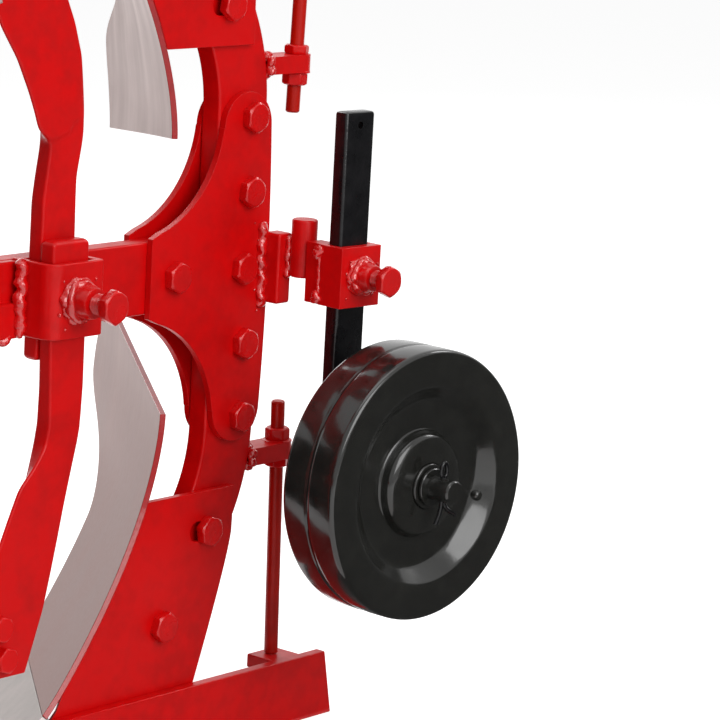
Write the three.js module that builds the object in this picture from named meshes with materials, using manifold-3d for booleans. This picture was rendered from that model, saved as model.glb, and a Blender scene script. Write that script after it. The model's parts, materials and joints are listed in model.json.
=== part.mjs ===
// Single-furrow reversible moldboard plough for the three-point hitch of a small tractor.
// Millimetres. +X is the direction of travel, +Y is the left side, +Z is up.
// It is drawn about the beam's long axis, then lifted so that the sole stands at z = 0.
import * as THREE from "three";
import { mergeVertices } from "three/addons/utils/BufferGeometryUtils.js";
import Module from "manifold-3d";

const wasm = await Module();
wasm.setup();

// ---- Driving dimensions -------------------------------------------------------------------
const GAP = 0.3; // between faces that touch
const RUN_GAP = 1; // round a bar or a pin that slides or turns

const SOLE_DROP = 410; // beam axis down to the sole
const BAR_DEPTH = 60; // flat bar of beam and legs
const BAR_THICK = 20;
const PLATE = 6; // gusset and frog plates
const BEAM_FRONT = 565; // from the leg's bolt column
const LEG_CENTRE = 4;
const LEG_KNEE = 134; // beam axis down to where the leg starts to bend
const LEG_BEND = 120; // inside radius
const LEG_KICK = 34; // degrees forward of vertical
const LEG_END_RISE = 62; // leg's cut end above the sole

const GUSSET_REACH = 114.4; // bolt column to the gusset's front edge
const GUSSET_NOSE = 33; // half the height of that edge
const GUSSET_HOLLOW = 97; // radius of its concave front
const GUSSET_END = 29; // radius of its rounded ends
const GUSSET_END_DROP = 119; // beam axis to the centre of that radius
const GUSSET_BELLY = 28.5; // bolt column to the middle of its rear edge

const FROG_TOP = 187; // beam axis down to the frog plate's top edge
const FROG_BOTTOM_RISE = 14;
const SLOT_DROP = 221; // pitch slot, below the beam axis
const SLOT_REAR = 25;
const SLOT_FRONT = 54;
const SLOT_WIDTH = 17;

const BOARD_THICK = 5;
const BOARD_INSET = 1.5; // face's shin inside the landside plane
const SHIN_TOP = 95.5; // bolt column to the top of the shin
const SHIN_TOP_DROP = 114;
const SHIN_SWEEP = 0.0115; // how fast the shin runs forward as it goes down
const POINT_SWEEP = 0.012; // and how much faster it does in the share
const POINT_SWEEP_DROP = 330;
const BOARD_TAIL_RISE = 38; // tail tip above the top of the shin
const BOARD_LENGTH = 392; // along its widest level line
const BOARD_TOP_LENGTH = 362;
const BOARD_FOOT_LENGTH = 236;
const BOARD_WAIST_DROP = 250; // where the tail starts to widen
const BOARD_WIDE_DROP = 150;
const BOARD_ANGLE = 49.5; // degrees to the line of travel, at the bottom
const BOARD_TWIST = 2.5; // degrees more at the top
const BOARD_TWIST_DROP = 185;

const SHARE_HEIGHT = 62;
const SHARE_THICK = 8;
const SHARE_WING = 315; // length of the cutting edge
const LANDSIDE_THICK = 10;
const LANDSIDE_HEIGHT = 58;
const LANDSIDE_REAR = 130;

const STAY_ROD = 12; // diameter
const STAY_ROD_X = 69; // behind the bolt column, at its top
const STAY_ROD_LEAN = 1.7; // degrees, foot to the rear
const STAY_ROD_TOP = 125;
const STAY_ARM_TOP = 160;
const STAY_ARM_THICK = 15;
const STAY_ARM_WIDTH = 25;

const BRACE_ROD = 14; // from the leg to the back of the moldboard

const BLOCK = 17; // square of the wheel bracket's welded blocks
const BRACKET_FRONT = -20.5; // front face of the block on the gusset
const BRACKET_HEIGHT = 60;
const PIN_DIAMETER = 22;
const PIN_X = -39;
const PIN_TOP = 44;
const PIN_LENGTH = 51;
const CLAMP_LENGTH = 46.4; // wheel clamp along the beam
const CLAMP_WIDTH = 26;
const CLAMP_HEIGHT = 51;
const WHEEL_SCREW = { reach: 36.5, boss: 10, bossDiameter: 27, flats: 24, head: 9.5, diameter: 16 };

const SHANK_X = -49.6; // wheel shank's centre
const WHEEL_TOE = 4.2; // degrees
const SHANK_DEPTH = 33.5;
const SHANK_THICK = 14.3;
const SHANK_TOP = 137;
const WHEEL_DROP = 162; // axle below the beam axis
const WHEEL_RADIUS = 114;
const WHEEL_WIDTH = 58;
const WHEEL_FACE = 103; // shank's centre to the wheel's outer face
const WHEEL_TRAIL = 4.2; // axle behind the shank's centre
const AXLE_DIAMETER = 20;
const AXLE_PROUD = 29.5;
const HUB_DIAMETER = 38;

const SKIMMER_X = 240.5; // middle of the skimmer shanks
const SKIMMER_DEPTH = 40;
const SKIMMER_THICK = 14.5;
const SKIMMER_CLAMP_HEIGHT = 60;
const SKIMMER_CLAMP_RISE = 1.5; // its middle above the beam axis
const SKIMMER_WALL = 6.5;
const SKIMMER_SLACK = 5; // free length behind the bars, inside the clamp
const SKIMMER_CORNER = 14;
const SKIMMER_SCREW = { reach: 43.5, boss: 12, bossDiameter: 30, flats: 27, head: 10, diameter: 18 };
const SKIMMER_TAIL = 48; // square end past the beam axis
const SKIMMER_LEAD = 110; // its board's edge in front of the bar's rear edge
const SKIMMER_DROP = 345; // its point below the beam axis
const SKIMMER_BRACKET = 70; // length of the plate in front of the clamp

const FLANGE = 110;
const FLANGE_THICK = 12;
const DISC_DIAMETER = 160;
const SPINDLE_DIAMETER = 44;
const HOUSING_DIAMETER = 70;
const HOUSING_LENGTH = 140;
const MAST_THICK = 12;
const MAST_WIDTH = 70;
const MAST_HEIGHT = 460; // lower link pins to top link pin, category 1
const LINK_SPREAD = 683; // between the lower link shoulders, category 1
const LOWER_LINK_DROP = 130; // beam axis down to the lower link pins
const LOWER_LINK_PIN = 22;
const LOWER_LINK_REACH = 60;
const TOP_LINK_PIN = 19;
const CROSS_BAR = 60;
const EAR_THICK = 12;
const HITCH_BRACE = 45;
const STAND_Y = 120;
const STAND_BAR = 25;
const STAND_SLEEVE_WALL = 6;
const STAND_SLEEVE_HEIGHT = 120;
const STAND_ABOVE = 60; // bar's top above the beam axis
const FOOT_SIZE = 100;
const FOOT_THICK = 6;

// ---- Places worked out from them ----------------------------------------------------------
const BAR_LEFT = -PLATE - GAP; // left face of beam and legs; the left plates' face is y = 0
const BAR_RIGHT = BAR_LEFT - BAR_THICK;
const AXIS_Y = (BAR_LEFT + BAR_RIGHT) / 2;
const SOLE = -SOLE_DROP;
const BOARD_FOOT = SOLE + SHARE_HEIGHT + GAP;
const TAN_KICK = Math.tan(THREE.MathUtils.degToRad(LEG_KICK));
const SPINDLE_REAR = BEAM_FRONT + FLANGE_THICK * 2 + 3 * GAP;
const HOUSING_REAR = SPINDLE_REAR + 14;
const HOUSING_FRONT = HOUSING_REAR + HOUSING_LENGTH;
const MAST_INNER = HOUSING_DIAMETER / 2 + GAP;
const CROSS_X = HOUSING_REAR + HOUSING_LENGTH / 2;

const red = new THREE.MeshStandardMaterial({ color: 0xc41315, roughness: 0.3, metalness: 0 });
const black = new THREE.MeshStandardMaterial({ color: 0x0c0c0e, roughness: 0.22, metalness: 0 });
const steel = new THREE.MeshStandardMaterial({ color: 0xb9b5b3, roughness: 0.35, metalness: 1 });

// ---- Ways of making a solid ---------------------------------------------------------------
const rad = THREE.MathUtils.degToRad;

function box(x0, x1, y0, y1, z0, z1) {
  const g = new THREE.BoxGeometry(x1 - x0, y1 - y0, z1 - z0);
  return g.translate((x0 + x1) / 2, (y0 + y1) / 2, (z0 + z1) / 2);
}

// A shape drawn in X and Z, with its left face at `left`.
function plate(shape, left, thick) {
  const g = new THREE.ExtrudeGeometry(shape, { depth: thick, bevelEnabled: false, curveSegments: 12 });
  return g.rotateX(Math.PI / 2).translate(0, left, 0);
}

// A shape drawn in Y and Z, from `rear` forward.
function crossPlate(shape, rear, thick) {
  const g = new THREE.ExtrudeGeometry(shape, { depth: thick, bevelEnabled: false, curveSegments: 16 });
  return g.rotateX(Math.PI / 2).rotateZ(Math.PI / 2).translate(rear, 0, 0);
}

// A shape drawn in X and Y, from `bottom` up.
function column(shape, bottom, height) {
  const g = new THREE.ExtrudeGeometry(shape, { depth: height, bevelEnabled: false, curveSegments: 10 });
  return g.translate(0, 0, bottom);
}

function polygon(...points) {
  return new THREE.Shape(points.map(([a, b]) => new THREE.Vector2(a, b)));
}

function rectangle(a0, a1, b0, b1) {
  return polygon([a0, b0], [a1, b0], [a1, b1], [a0, b1]);
}

function circle(a, b, radius) {
  return new THREE.Shape().absarc(a, b, radius, 0, 2 * Math.PI);
}

function hexagon(a, b, flats) {
  const corner = (i) => [
    a + (flats / Math.sqrt(3)) * Math.cos(rad(60 * i + 30)),
    b + (flats / Math.sqrt(3)) * Math.sin(rad(60 * i + 30)),
  ];
  return polygon(...[0, 1, 2, 3, 4, 5].map(corner));
}

function withHole(shape, hole) {
  shape.holes.push(hole);
  return shape;
}

// A turned piece: [radius, place along Y] pairs, about the Y axis.
function turned(pairs, segments = 32) {
  return new THREE.LatheGeometry(pairs.map(([r, y]) => new THREE.Vector2(r, y)), segments);
}

// A round rod between two points.
function rod(from, to, diameter, sides = 20) {
  const a = new THREE.Vector3(...from);
  const b = new THREE.Vector3(...to);
  const g = new THREE.CylinderGeometry(diameter / 2, diameter / 2, a.distanceTo(b), sides);
  const way = new THREE.Vector3().subVectors(b, a).normalize();
  const turn = new THREE.Quaternion().setFromUnitVectors(new THREE.Vector3(0, 1, 0), way);
  return g.applyQuaternion(turn).translate(...a.lerp(b, 0.5).toArray());
}

// A plate between two grids of points, front[i][j] and back[i][j].
// Seen from the front, i runs to the right and j runs up.
function slab(front, back) {
  const columns = front.length;
  const rows = front[0].length;
  const points = [...front.flat(), ...back.flat()].flatMap((p) => p.toArray());
  const f = (i, j) => i * rows + j;
  const b = (i, j) => columns * rows + f(i, j);
  const faces = [];
  const quad = (p, q, r, s) => faces.push(p, q, r, p, r, s);
  for (let i = 0; i < columns - 1; i++) {
    for (let j = 0; j < rows - 1; j++) {
      quad(f(i, j), f(i + 1, j), f(i + 1, j + 1), f(i, j + 1));
      quad(b(i, j), b(i, j + 1), b(i + 1, j + 1), b(i + 1, j));
    }
    quad(b(i, 0), b(i + 1, 0), f(i + 1, 0), f(i, 0));
    quad(f(i, rows - 1), f(i + 1, rows - 1), b(i + 1, rows - 1), b(i, rows - 1));
  }
  for (let j = 0; j < rows - 1; j++) {
    quad(b(0, j), f(0, j), f(0, j + 1), b(0, j + 1));
    quad(f(columns - 1, j), b(columns - 1, j), b(columns - 1, j + 1), f(columns - 1, j + 1));
  }
  const g = new THREE.BufferGeometry();
  g.setAttribute("position", new THREE.Float32BufferAttribute(points, 3));
  return g.setIndex(faces);
}

function grid(columns, rows, point) {
  return Array.from({ length: columns + 1 }, (_, i) =>
    Array.from({ length: rows + 1 }, (_, j) => point(i / columns, j / rows)),
  );
}

function solidOf(geometry) {
  const bare = new THREE.BufferGeometry();
  bare.setAttribute("position", geometry.getAttribute("position"));
  bare.setIndex(geometry.index);
  const merged = mergeVertices(bare, 1e-3);
  const vertProperties = new Float32Array(merged.getAttribute("position").array);
  return new wasm.Manifold(
    new wasm.Mesh({ numProp: 3, vertProperties, triVerts: new Uint32Array(merged.index.array) }),
  );
}

function geometryOf(solid) {
  const { vertProperties, triVerts } = solid.getMesh();
  const g = new THREE.BufferGeometry();
  g.setAttribute("position", new THREE.BufferAttribute(vertProperties, 3));
  return g.setIndex(new THREE.BufferAttribute(triVerts, 1));
}

const join = (...parts) => geometryOf(parts.map(solidOf).reduce((a, b) => a.add(b)));
function cut(part, ...tools) {
  return geometryOf(tools.map(solidOf).reduce((a, b) => a.subtract(b), solidOf(part)));
}

// ---- The model ----------------------------------------------------------------------------
const plough = new THREE.Group();
const group = new THREE.Group();
group.add(plough);

function place(name, geometry, material, parent = plough) {
  const mesh = new THREE.Mesh(geometry, material);
  mesh.name = name;
  parent.add(mesh);
  return mesh;
}

// The upper body is the lower one's mirror image in the beam's level plane.
function placeBoth(name, geometry, material) {
  place(name + "_lower", geometry, material);
  place(name + "_upper", geometry, material).scale.z = -1;
}

// ---- Beam, legs and gusset plates ---------------------------------------------------------
function legShape() {
  const front = LEG_CENTRE + BAR_DEPTH / 2;
  const centre = front + LEG_BEND;
  const outer = LEG_BEND + BAR_DEPTH;
  const end = SOLE + LEG_END_RISE;
  const kick = rad(LEG_KICK);
  const reach = (radius) => {
    const x = centre - radius * Math.cos(kick);
    const z = -LEG_KNEE - radius * Math.sin(kick);
    return x + (z - end) * TAN_KICK;
  };
  const shape = new THREE.Shape();
  shape.moveTo(front, -GAP / 2);
  shape.lineTo(front - BAR_DEPTH, -GAP / 2);
  shape.absarc(centre, -LEG_KNEE, outer, Math.PI, Math.PI + kick, false);
  shape.lineTo(reach(outer), end);
  shape.lineTo(reach(LEG_BEND), end);
  shape.absarc(centre, -LEG_KNEE, LEG_BEND, Math.PI + kick, Math.PI, true);
  return shape;
}

function gussetShape() {
  const hollowX = 33 + GUSSET_HOLLOW; // the hollow meets the rounded end upright
  const hollowZ = GUSSET_END_DROP + 12;
  const end = LEG_CENTRE + GUSSET_END;
  const start = Math.acos((104 - hollowX) / GUSSET_HOLLOW);
  const finish = Math.PI - Math.asin(12 / GUSSET_HOLLOW);
  const rear = 2 * GUSSET_BELLY - GUSSET_END + LEG_CENTRE;
  const shape = new THREE.Shape();
  shape.moveTo(GUSSET_REACH, -GUSSET_NOSE);
  shape.lineTo(GUSSET_REACH, GUSSET_NOSE);
  shape.absarc(hollowX, hollowZ, GUSSET_HOLLOW, -start, -finish, true);
  shape.absarc(LEG_CENTRE, GUSSET_END_DROP, GUSSET_END, 0, Math.PI, false);
  shape.quadraticCurveTo(-rear, 0, end - 2 * GUSSET_END, -GUSSET_END_DROP);
  shape.absarc(LEG_CENTRE, -GUSSET_END_DROP, GUSSET_END, Math.PI, 2 * Math.PI, false);
  shape.absarc(hollowX, -hollowZ, GUSSET_HOLLOW, finish, start, true);
  return shape;
}

placeBoth("leg", plate(legShape(), BAR_LEFT, BAR_THICK), red);
place("gusset_plate_left", plate(gussetShape(), 0, PLATE), red);
place("gusset_plate_right", plate(gussetShape(), BAR_RIGHT - GAP, PLATE), red);
const legFront = LEG_CENTRE + BAR_DEPTH / 2;
place(
  "beam",
  box(legFront + GAP, BEAM_FRONT, BAR_RIGHT, BAR_LEFT, -BAR_DEPTH / 2, BAR_DEPTH / 2),
  red,
);

// ---- Moldboard and share: one ruled surface of level lines --------------------------------
function shinX(z) {
  const down = Math.max(0, -SHIN_TOP_DROP - z);
  const low = Math.max(0, -POINT_SWEEP_DROP - z);
  return SHIN_TOP + SHIN_SWEEP * down ** 1.7 + POINT_SWEEP * low ** 1.75;
}

function boardAngle(z) {
  return rad(BOARD_ANGLE + BOARD_TWIST / (1 + Math.exp(-(z + BOARD_TWIST_DROP) / 15)));
}

// The working face, a distance s from the shin along the level line at height z.
function facePoint(s, z) {
  const angle = boardAngle(z);
  return new THREE.Vector3(shinX(z) - s * Math.cos(angle), -BOARD_INSET - s * Math.sin(angle), z);
}

function faceNormal(s, z) {
  const along = facePoint(s + 1, z).sub(facePoint(s - 1, z));
  const up = facePoint(s, z + 1).sub(facePoint(s, z - 1));
  return up.cross(along).normalize();
}

// The same place on the back of a sheet that is `thick`.
function backPoint(s, z, thick) {
  return facePoint(s, z).addScaledVector(faceNormal(s, z), -thick);
}

// How far the board reaches along its level line: narrow at the foot, rounded at the tail.
function boardEdge(z) {
  const { smoothstep } = THREE.MathUtils;
  const wide = smoothstep(z, -BOARD_WAIST_DROP, -BOARD_WIDE_DROP);
  const tail = smoothstep(z, 10 - BOARD_WIDE_DROP, BOARD_TAIL_RISE - SHIN_TOP_DROP);
  const level = THREE.MathUtils.lerp(BOARD_FOOT_LENGTH, BOARD_LENGTH, wide);
  return level - (BOARD_LENGTH - BOARD_TOP_LENGTH) * tail;
}

function boardGrid(thick) {
  return grid(10, 18, (u, v) => {
    const top = BOARD_TAIL_RISE * u - SHIN_TOP_DROP;
    const z = THREE.MathUtils.lerp(BOARD_FOOT, top, v);
    const s = u * boardEdge(z);
    return thick ? backPoint(s, z, thick) : facePoint(s, z);
  }).reverse();
}

function shareGrid(thick) {
  return grid(6, 6, (u, v) => {
    const z = THREE.MathUtils.lerp(SOLE, BOARD_FOOT - GAP, v);
    const s = u * THREE.MathUtils.lerp(SHARE_WING, BOARD_FOOT_LENGTH, v);
    if (!thick) return facePoint(s, z);
    const back = backPoint(s, z, 1 + (thick - 1) * Math.min(1, 3 * v));
    back.z = Math.max(back.z, SOLE);
    return back;
  }).reverse();
}

placeBoth("moldboard", slab(boardGrid(0), boardGrid(BOARD_THICK)), steel);
placeBoth("share", slab(shareGrid(0), shareGrid(SHARE_THICK)), steel);

// ---- Frog plate, landside and stay --------------------------------------------------------
// All that board and share stand in front of, cut away from what carries them.
const carried = (z) => (z < BOARD_FOOT + 14 ? SHARE_THICK + 1 : BOARD_THICK + GAP);
const inFront = (behind) =>
  grid(6, 24, (u, v) => {
    const z = THREE.MathUtils.lerp(SOLE - 20, 20 - FROG_TOP, v);
    return backPoint(120 - 180 * u, z, behind ? carried(z) : -60);
  });
const boardCut = slab(inFront(false), inFront(true));

function frogShape() {
  const bottom = SOLE + FROG_BOTTOM_RISE;
  const shape = new THREE.Shape();
  shape.moveTo(1, -FROG_TOP);
  shape.lineTo(2, -FROG_TOP - 39);
  shape.quadraticCurveTo(6, -FROG_TOP - 70, 58, bottom);
  for (let step = 0; step <= 8; step++) {
    const z = THREE.MathUtils.lerp(bottom, -FROG_TOP, step / 8);
    shape.lineTo(shinX(z) + 4, z);
  }
  return shape;
}

const slotEnd = SLOT_WIDTH / 2;
const slot = new THREE.Shape();
slot.absarc(SLOT_FRONT - slotEnd, -SLOT_DROP, slotEnd, -Math.PI / 2, Math.PI / 2, false);
slot.absarc(SLOT_REAR + slotEnd, -SLOT_DROP, slotEnd, Math.PI / 2, 1.5 * Math.PI, false);
placeBoth("frog_plate", cut(plate(frogShape(), 0, PLATE), boardCut, plate(slot, 5, PLATE + 10)), red);

const landsideTop = SOLE + LANDSIDE_HEIGHT;
const rodX = (z) => -STAY_ROD_X + (z + STAY_ROD_TOP) * Math.tan(rad(STAY_ROD_LEAN));
const tabX = rodX(landsideTop);
const landsideBar = plate(
  polygon(
    [-LANDSIDE_REAR, SOLE],
    [shinX(SOLE), SOLE],
    [shinX(landsideTop) + 6, landsideTop],
    [-LANDSIDE_REAR + 12, landsideTop],
  ),
  GAP + LANDSIDE_THICK,
  LANDSIDE_THICK,
);
const heelTab = box(tabX - 18, tabX + 18, AXIS_Y - 12, GAP + 1, landsideTop - 12, landsideTop);
const landside = cut(join(landsideBar, heelTab), boardCut);
placeBoth("landside", landside, red);

placeBoth(
  "stay_rod",
  rod([rodX(-STAY_ROD_TOP), AXIS_Y, -STAY_ROD_TOP], [tabX, AXIS_Y, landsideTop + 2 * GAP], STAY_ROD),
  red,
);

const armRear = rodX(-STAY_ARM_TOP) - STAY_ARM_WIDTH / 2;
const armHalf = STAY_ARM_WIDTH / 2;
const armShape = new THREE.Shape();
armShape.moveTo(legFront - BAR_DEPTH - GAP, AXIS_Y - armHalf);
armShape.lineTo(legFront - BAR_DEPTH - GAP, AXIS_Y + armHalf);
armShape.absarc(armRear + armHalf, AXIS_Y, armHalf, Math.PI / 2, 1.5 * Math.PI, false);
const rodHole = circle(rodX(-STAY_ARM_TOP - STAY_ARM_THICK / 2), AXIS_Y, STAY_ROD / 2 + RUN_GAP);
placeBoth(
  "stay_arm",
  column(withHole(armShape, rodHole), -STAY_ARM_TOP - STAY_ARM_THICK, STAY_ARM_THICK),
  red,
);

// A rod from the leg's right face to the back of the moldboard carries the wing.
const braceLevel = BOARD_FOOT + 42;
const braceEnd = backPoint(150, braceLevel, BOARD_THICK + 2);
placeBoth(
  "moldboard_brace",
  cut(
    rod([95, BAR_RIGHT + 4, braceLevel], braceEnd.toArray(), BRACE_ROD),
    box(0, 200, BAR_RIGHT - GAP, 40, SOLE, -FROG_TOP),
    slab(
      grid(4, 4, (u, v) => backPoint(300 - 300 * u, braceLevel - 20 + 40 * v, BOARD_THICK - 30)),
      grid(4, 4, (u, v) => backPoint(300 - 300 * u, braceLevel - 20 + 40 * v, BOARD_THICK + GAP)),
    ),
  ),
  red,
);

// ---- Wheel bracket, clamp and depth wheel -------------------------------------------------
const blockLeft = GAP + BLOCK + 1.2;
const pinY = blockLeft + GAP + PIN_DIAMETER / 2;
const clampRight = pinY + PIN_DIAMETER / 2 + GAP + BLOCK + GAP + 1;
const shankY = clampRight + CLAMP_WIDTH / 2 - 3;
const blockShape = rectangle(BRACKET_FRONT - BLOCK, BRACKET_FRONT, GAP, blockLeft);
place("wheel_bracket_block", column(blockShape, -1 - BRACKET_HEIGHT / 2, BRACKET_HEIGHT), red);
place(
  "wheel_bracket_pin",
  rod([PIN_X, pinY, PIN_TOP - PIN_LENGTH], [PIN_X, pinY, PIN_TOP], PIN_DIAMETER),
  red,
);

const wheelSide = new THREE.Group();
wheelSide.position.set(SHANK_X, shankY, 0);
wheelSide.rotation.z = -rad(WHEEL_TOE);
plough.add(wheelSide);

const clampFar = -(shankY - clampRight);
const clampNear = clampFar + CLAMP_WIDTH;
const clampShape = withHole(
  rectangle(-CLAMP_LENGTH / 2, CLAMP_LENGTH / 2, clampFar, clampNear),
  rectangle(
    -SHANK_DEPTH / 2 - RUN_GAP / 2,
    SHANK_DEPTH / 2 + RUN_GAP / 2,
    -SHANK_THICK / 2 - RUN_GAP / 2,
    SHANK_THICK / 2 + RUN_GAP / 2,
  ),
);
const clampBlock = box(5, 5 + BLOCK, clampFar - BLOCK, clampFar + 1, -CLAMP_HEIGHT / 2, CLAMP_HEIGHT / 2);
place("wheel_clamp", join(column(clampShape, -CLAMP_HEIGHT / 2, CLAMP_HEIGHT), clampBlock), red, wheelSide);

// A welded boss with a hexagon screw through it, pointing left from y = 0.
function clampScrew(screw) {
  const head = plate(hexagon(0, 0, screw.flats), screw.reach, screw.head);
  const boss = rod([0, GAP, 0], [0, screw.boss, 0], screw.bossDiameter, 24);
  return join(boss, rod([0, GAP, 0], [0, screw.reach - screw.head + 1, 0], screw.diameter), head);
}

place("wheel_clamp_screw", clampScrew(WHEEL_SCREW), red, wheelSide).position.set(0, clampNear, 1);

const shankFoot = -WHEEL_DROP - AXLE_DIAMETER / 2 - 4;
place(
  "wheel_shank",
  box(-SHANK_DEPTH / 2, SHANK_DEPTH / 2, -SHANK_THICK / 2, SHANK_THICK / 2, shankFoot, SHANK_TOP),
  black,
  wheelSide,
);

const axleStart = SHANK_THICK / 2 + GAP;
const hubInner = WHEEL_FACE - WHEEL_WIDTH - 4;
const hubOuter = WHEEL_FACE + 2;
const axleRadius = AXLE_DIAMETER / 2;
const wheelGroup = new THREE.Group();
wheelGroup.position.set(-WHEEL_TRAIL, 0, -WHEEL_DROP);
wheelSide.add(wheelGroup);
place(
  "wheel_axle",
  turned([
    [0, axleStart],
    [axleRadius + 5, axleStart],
    [axleRadius + 5, hubInner - RUN_GAP],
    [axleRadius, hubInner - RUN_GAP],
    [axleRadius, hubOuter + RUN_GAP],
    [axleRadius + 6, hubOuter + RUN_GAP],
    [axleRadius + 6, hubOuter + RUN_GAP + 3],
    [axleRadius, hubOuter + RUN_GAP + 3],
    [axleRadius, WHEEL_FACE + AXLE_PROUD - 1],
    [axleRadius - 1, WHEEL_FACE + AXLE_PROUD],
    [0, WHEEL_FACE + AXLE_PROUD],
  ]),
  black,
  wheelGroup,
);

// One pressed half of the wheel: tread, rounded rim, flat face, dish and domed hub seat.
const wheelMiddle = WHEEL_FACE - WHEEL_WIDTH / 2;
const SHEET = 3;
function wheelHalf() {
  const face = WHEEL_WIDTH / 2;
  const r = WHEEL_RADIUS;
  const hub = HUB_DIAMETER / 2 + GAP;
  return turned(
    [
      [r, GAP / 2],
      [r, face - 5],
      [r - 1.5, face - 1.5],
      [r - 5, face],
      [85, face],
      [80, face - 3],
      [69, face - 13],
      [65, face - 14],
      [49, face - 14],
      [46, face - 8],
      [42, face - 4],
      [34, face - 2],
      [hub, face - 1],
      [hub, face - 1 - SHEET],
      [33.5, face - 2 - SHEET],
      [40.6, face - 4 - SHEET],
      [43.5, face - 8 - SHEET],
      [46.6, face - 14 - SHEET],
      [66, face - 14 - SHEET],
      [71, face - 13 - SHEET],
      [81.5, face - 3 - SHEET],
      [86, face - SHEET],
      [r - 5, face - SHEET],
      [r - SHEET, face - 5],
      [r - SHEET, GAP / 2],
      [r, GAP / 2],
    ],
    48,
  );
}

place("wheel_half_left", wheelHalf(), black, wheelGroup).position.y = wheelMiddle;
const innerHalf = place("wheel_half_right", wheelHalf(), black, wheelGroup);
innerHalf.position.y = wheelMiddle;
innerHalf.rotation.z = Math.PI;
place(
  "wheel_hub",
  turned([
    [axleRadius + RUN_GAP / 2, hubInner],
    [HUB_DIAMETER / 2, hubInner],
    [HUB_DIAMETER / 2, hubOuter],
    [axleRadius + RUN_GAP / 2, hubOuter],
    [axleRadius + RUN_GAP / 2, hubInner],
  ]),
  black,
  wheelGroup,
);

// ---- Skimmers: two bars side by side in one clamp on the beam -----------------------------
const skimRear = SKIMMER_X - SKIMMER_DEPTH / 2;
const skimFront = SKIMMER_X + SKIMMER_DEPTH / 2;
const skimInner = 3; // right face of the upper skimmer's bar
const skimMiddle = skimInner + SKIMMER_THICK + RUN_GAP;
const skimNear = skimMiddle + SKIMMER_THICK;
const skimClampNear = skimNear + RUN_GAP / 2 + SKIMMER_WALL;
const skimClampRear = skimRear - SKIMMER_SLACK - SKIMMER_WALL;
const skimClampFront = skimFront + RUN_GAP / 2 + SKIMMER_WALL;

function skimmerClampShape() {
  const corner = SKIMMER_CORNER;
  const shape = new THREE.Shape();
  shape.moveTo(skimClampRear, BAR_LEFT + GAP);
  shape.lineTo(skimClampFront, BAR_LEFT + GAP);
  shape.absarc(skimClampFront - corner, skimClampNear - corner, corner, 0, Math.PI / 2, false);
  shape.absarc(skimClampRear + 5, skimClampNear - 5, 5, Math.PI / 2, Math.PI, false);
  const hole = rectangle(
    skimRear - SKIMMER_SLACK,
    skimFront + RUN_GAP / 2,
    skimInner - RUN_GAP / 2,
    skimNear + RUN_GAP / 2,
  );
  return withHole(shape, hole);
}

const skimClampFoot = SKIMMER_CLAMP_RISE - SKIMMER_CLAMP_HEIGHT / 2;
place("skimmer_clamp", column(skimmerClampShape(), skimClampFoot, SKIMMER_CLAMP_HEIGHT), red);
const skimScrew = place("skimmer_clamp_screw", clampScrew(SKIMMER_SCREW), red);
skimScrew.position.set(SKIMMER_X - 1.5, skimClampNear, 4);
const bracketRear = skimClampFront + GAP;
const bracketFront = bracketRear + SKIMMER_BRACKET;
const bracketPlate = box(bracketRear, bracketFront, BAR_LEFT + GAP, 2, -BAR_DEPTH / 2, BAR_DEPTH / 2);
const bracketPad = box(bracketRear, bracketFront, BAR_LEFT + GAP, 8, -BAR_DEPTH / 2, -2);
place("skimmer_bracket", join(bracketPlate, bracketPad), red);

// Each bar is forged: straight through the clamp, then raked forward to its foot.
// The outlines give [ahead of the shank's middle, drop below the beam axis].
const LOWER_OUTLINE = {
  rear: [[-19, 68], [-16, 105], [-8, 139], [-2, 167], [5, 201], [13, 234], [22, 261], [34, 293]],
  front: [[92, 293], [86, 240], [72, 195], [63, 175], [51, 152], [33, 131], [21, 112], [18, 97]],
};
const UPPER_OUTLINE = {
  rear: [[-19, 95], [-24, 118], [-25, 144], [-22, 170], [-13, 205], [2, 240], [18, 268], [34, 293]],
  front: [[92, 293], [86, 250], [70, 215], [48, 190], [24, 163], [12, 136], [11, 120], [15, 95]],
};
function skimmerBar({ rear, front }) {
  const edge = [...rear, ...front].map(([ahead, drop]) => [SKIMMER_X + ahead, -drop]);
  return polygon([skimFront, SKIMMER_TAIL], [skimRear, SKIMMER_TAIL], ...edge);
}

// A small moldboard and share in one ruled sheet, at the foot of the bar.
const skimAngle = rad(52);
function skimmerPoint(s, z) {
  const low = Math.max(0, -z - SKIMMER_DROP + 110);
  const x = skimRear + SKIMMER_LEAD + 0.06 * low ** 1.5;
  return new THREE.Vector3(x - s * Math.cos(skimAngle), skimNear - s * Math.sin(skimAngle), z);
}

// A grid past all the board's edges, moved forward by dx and to the left by dy.
function skimmerSheet(dx, dy) {
  const shift = new THREE.Vector3(dx, dy, 0);
  return grid(4, 8, (u, v) => skimmerPoint(200 - 260 * u, 190 * v - SKIMMER_DROP - 10).add(shift));
}

function skimmerGrid(thick) {
  return grid(4, 8, (u, v) => {
    const z = THREE.MathUtils.lerp(-SKIMMER_DROP, 110 - SKIMMER_DROP + 18 * u, v);
    const normal = new THREE.Vector3(Math.sin(skimAngle), -Math.cos(skimAngle), 0);
    return skimmerPoint(u * 130, z).addScaledVector(normal, -thick);
  }).reverse();
}

for (const [level, right, outline, side] of [
  ["lower", skimMiddle, LOWER_OUTLINE, 1],
  ["upper", skimInner, UPPER_OUTLINE, -1],
]) {
  const bar = plate(skimmerBar(outline), right + SKIMMER_THICK, SKIMMER_THICK);
  const inFrontOfBar = slab(skimmerSheet(90, -60), skimmerSheet(-8.5, 0));
  place("skimmer_bar_" + level, cut(bar, inFrontOfBar), red).scale.z = side;
  place("skimmer_board_" + level, slab(skimmerGrid(0), skimmerGrid(5)), steel).scale.z = side;
}

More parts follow.
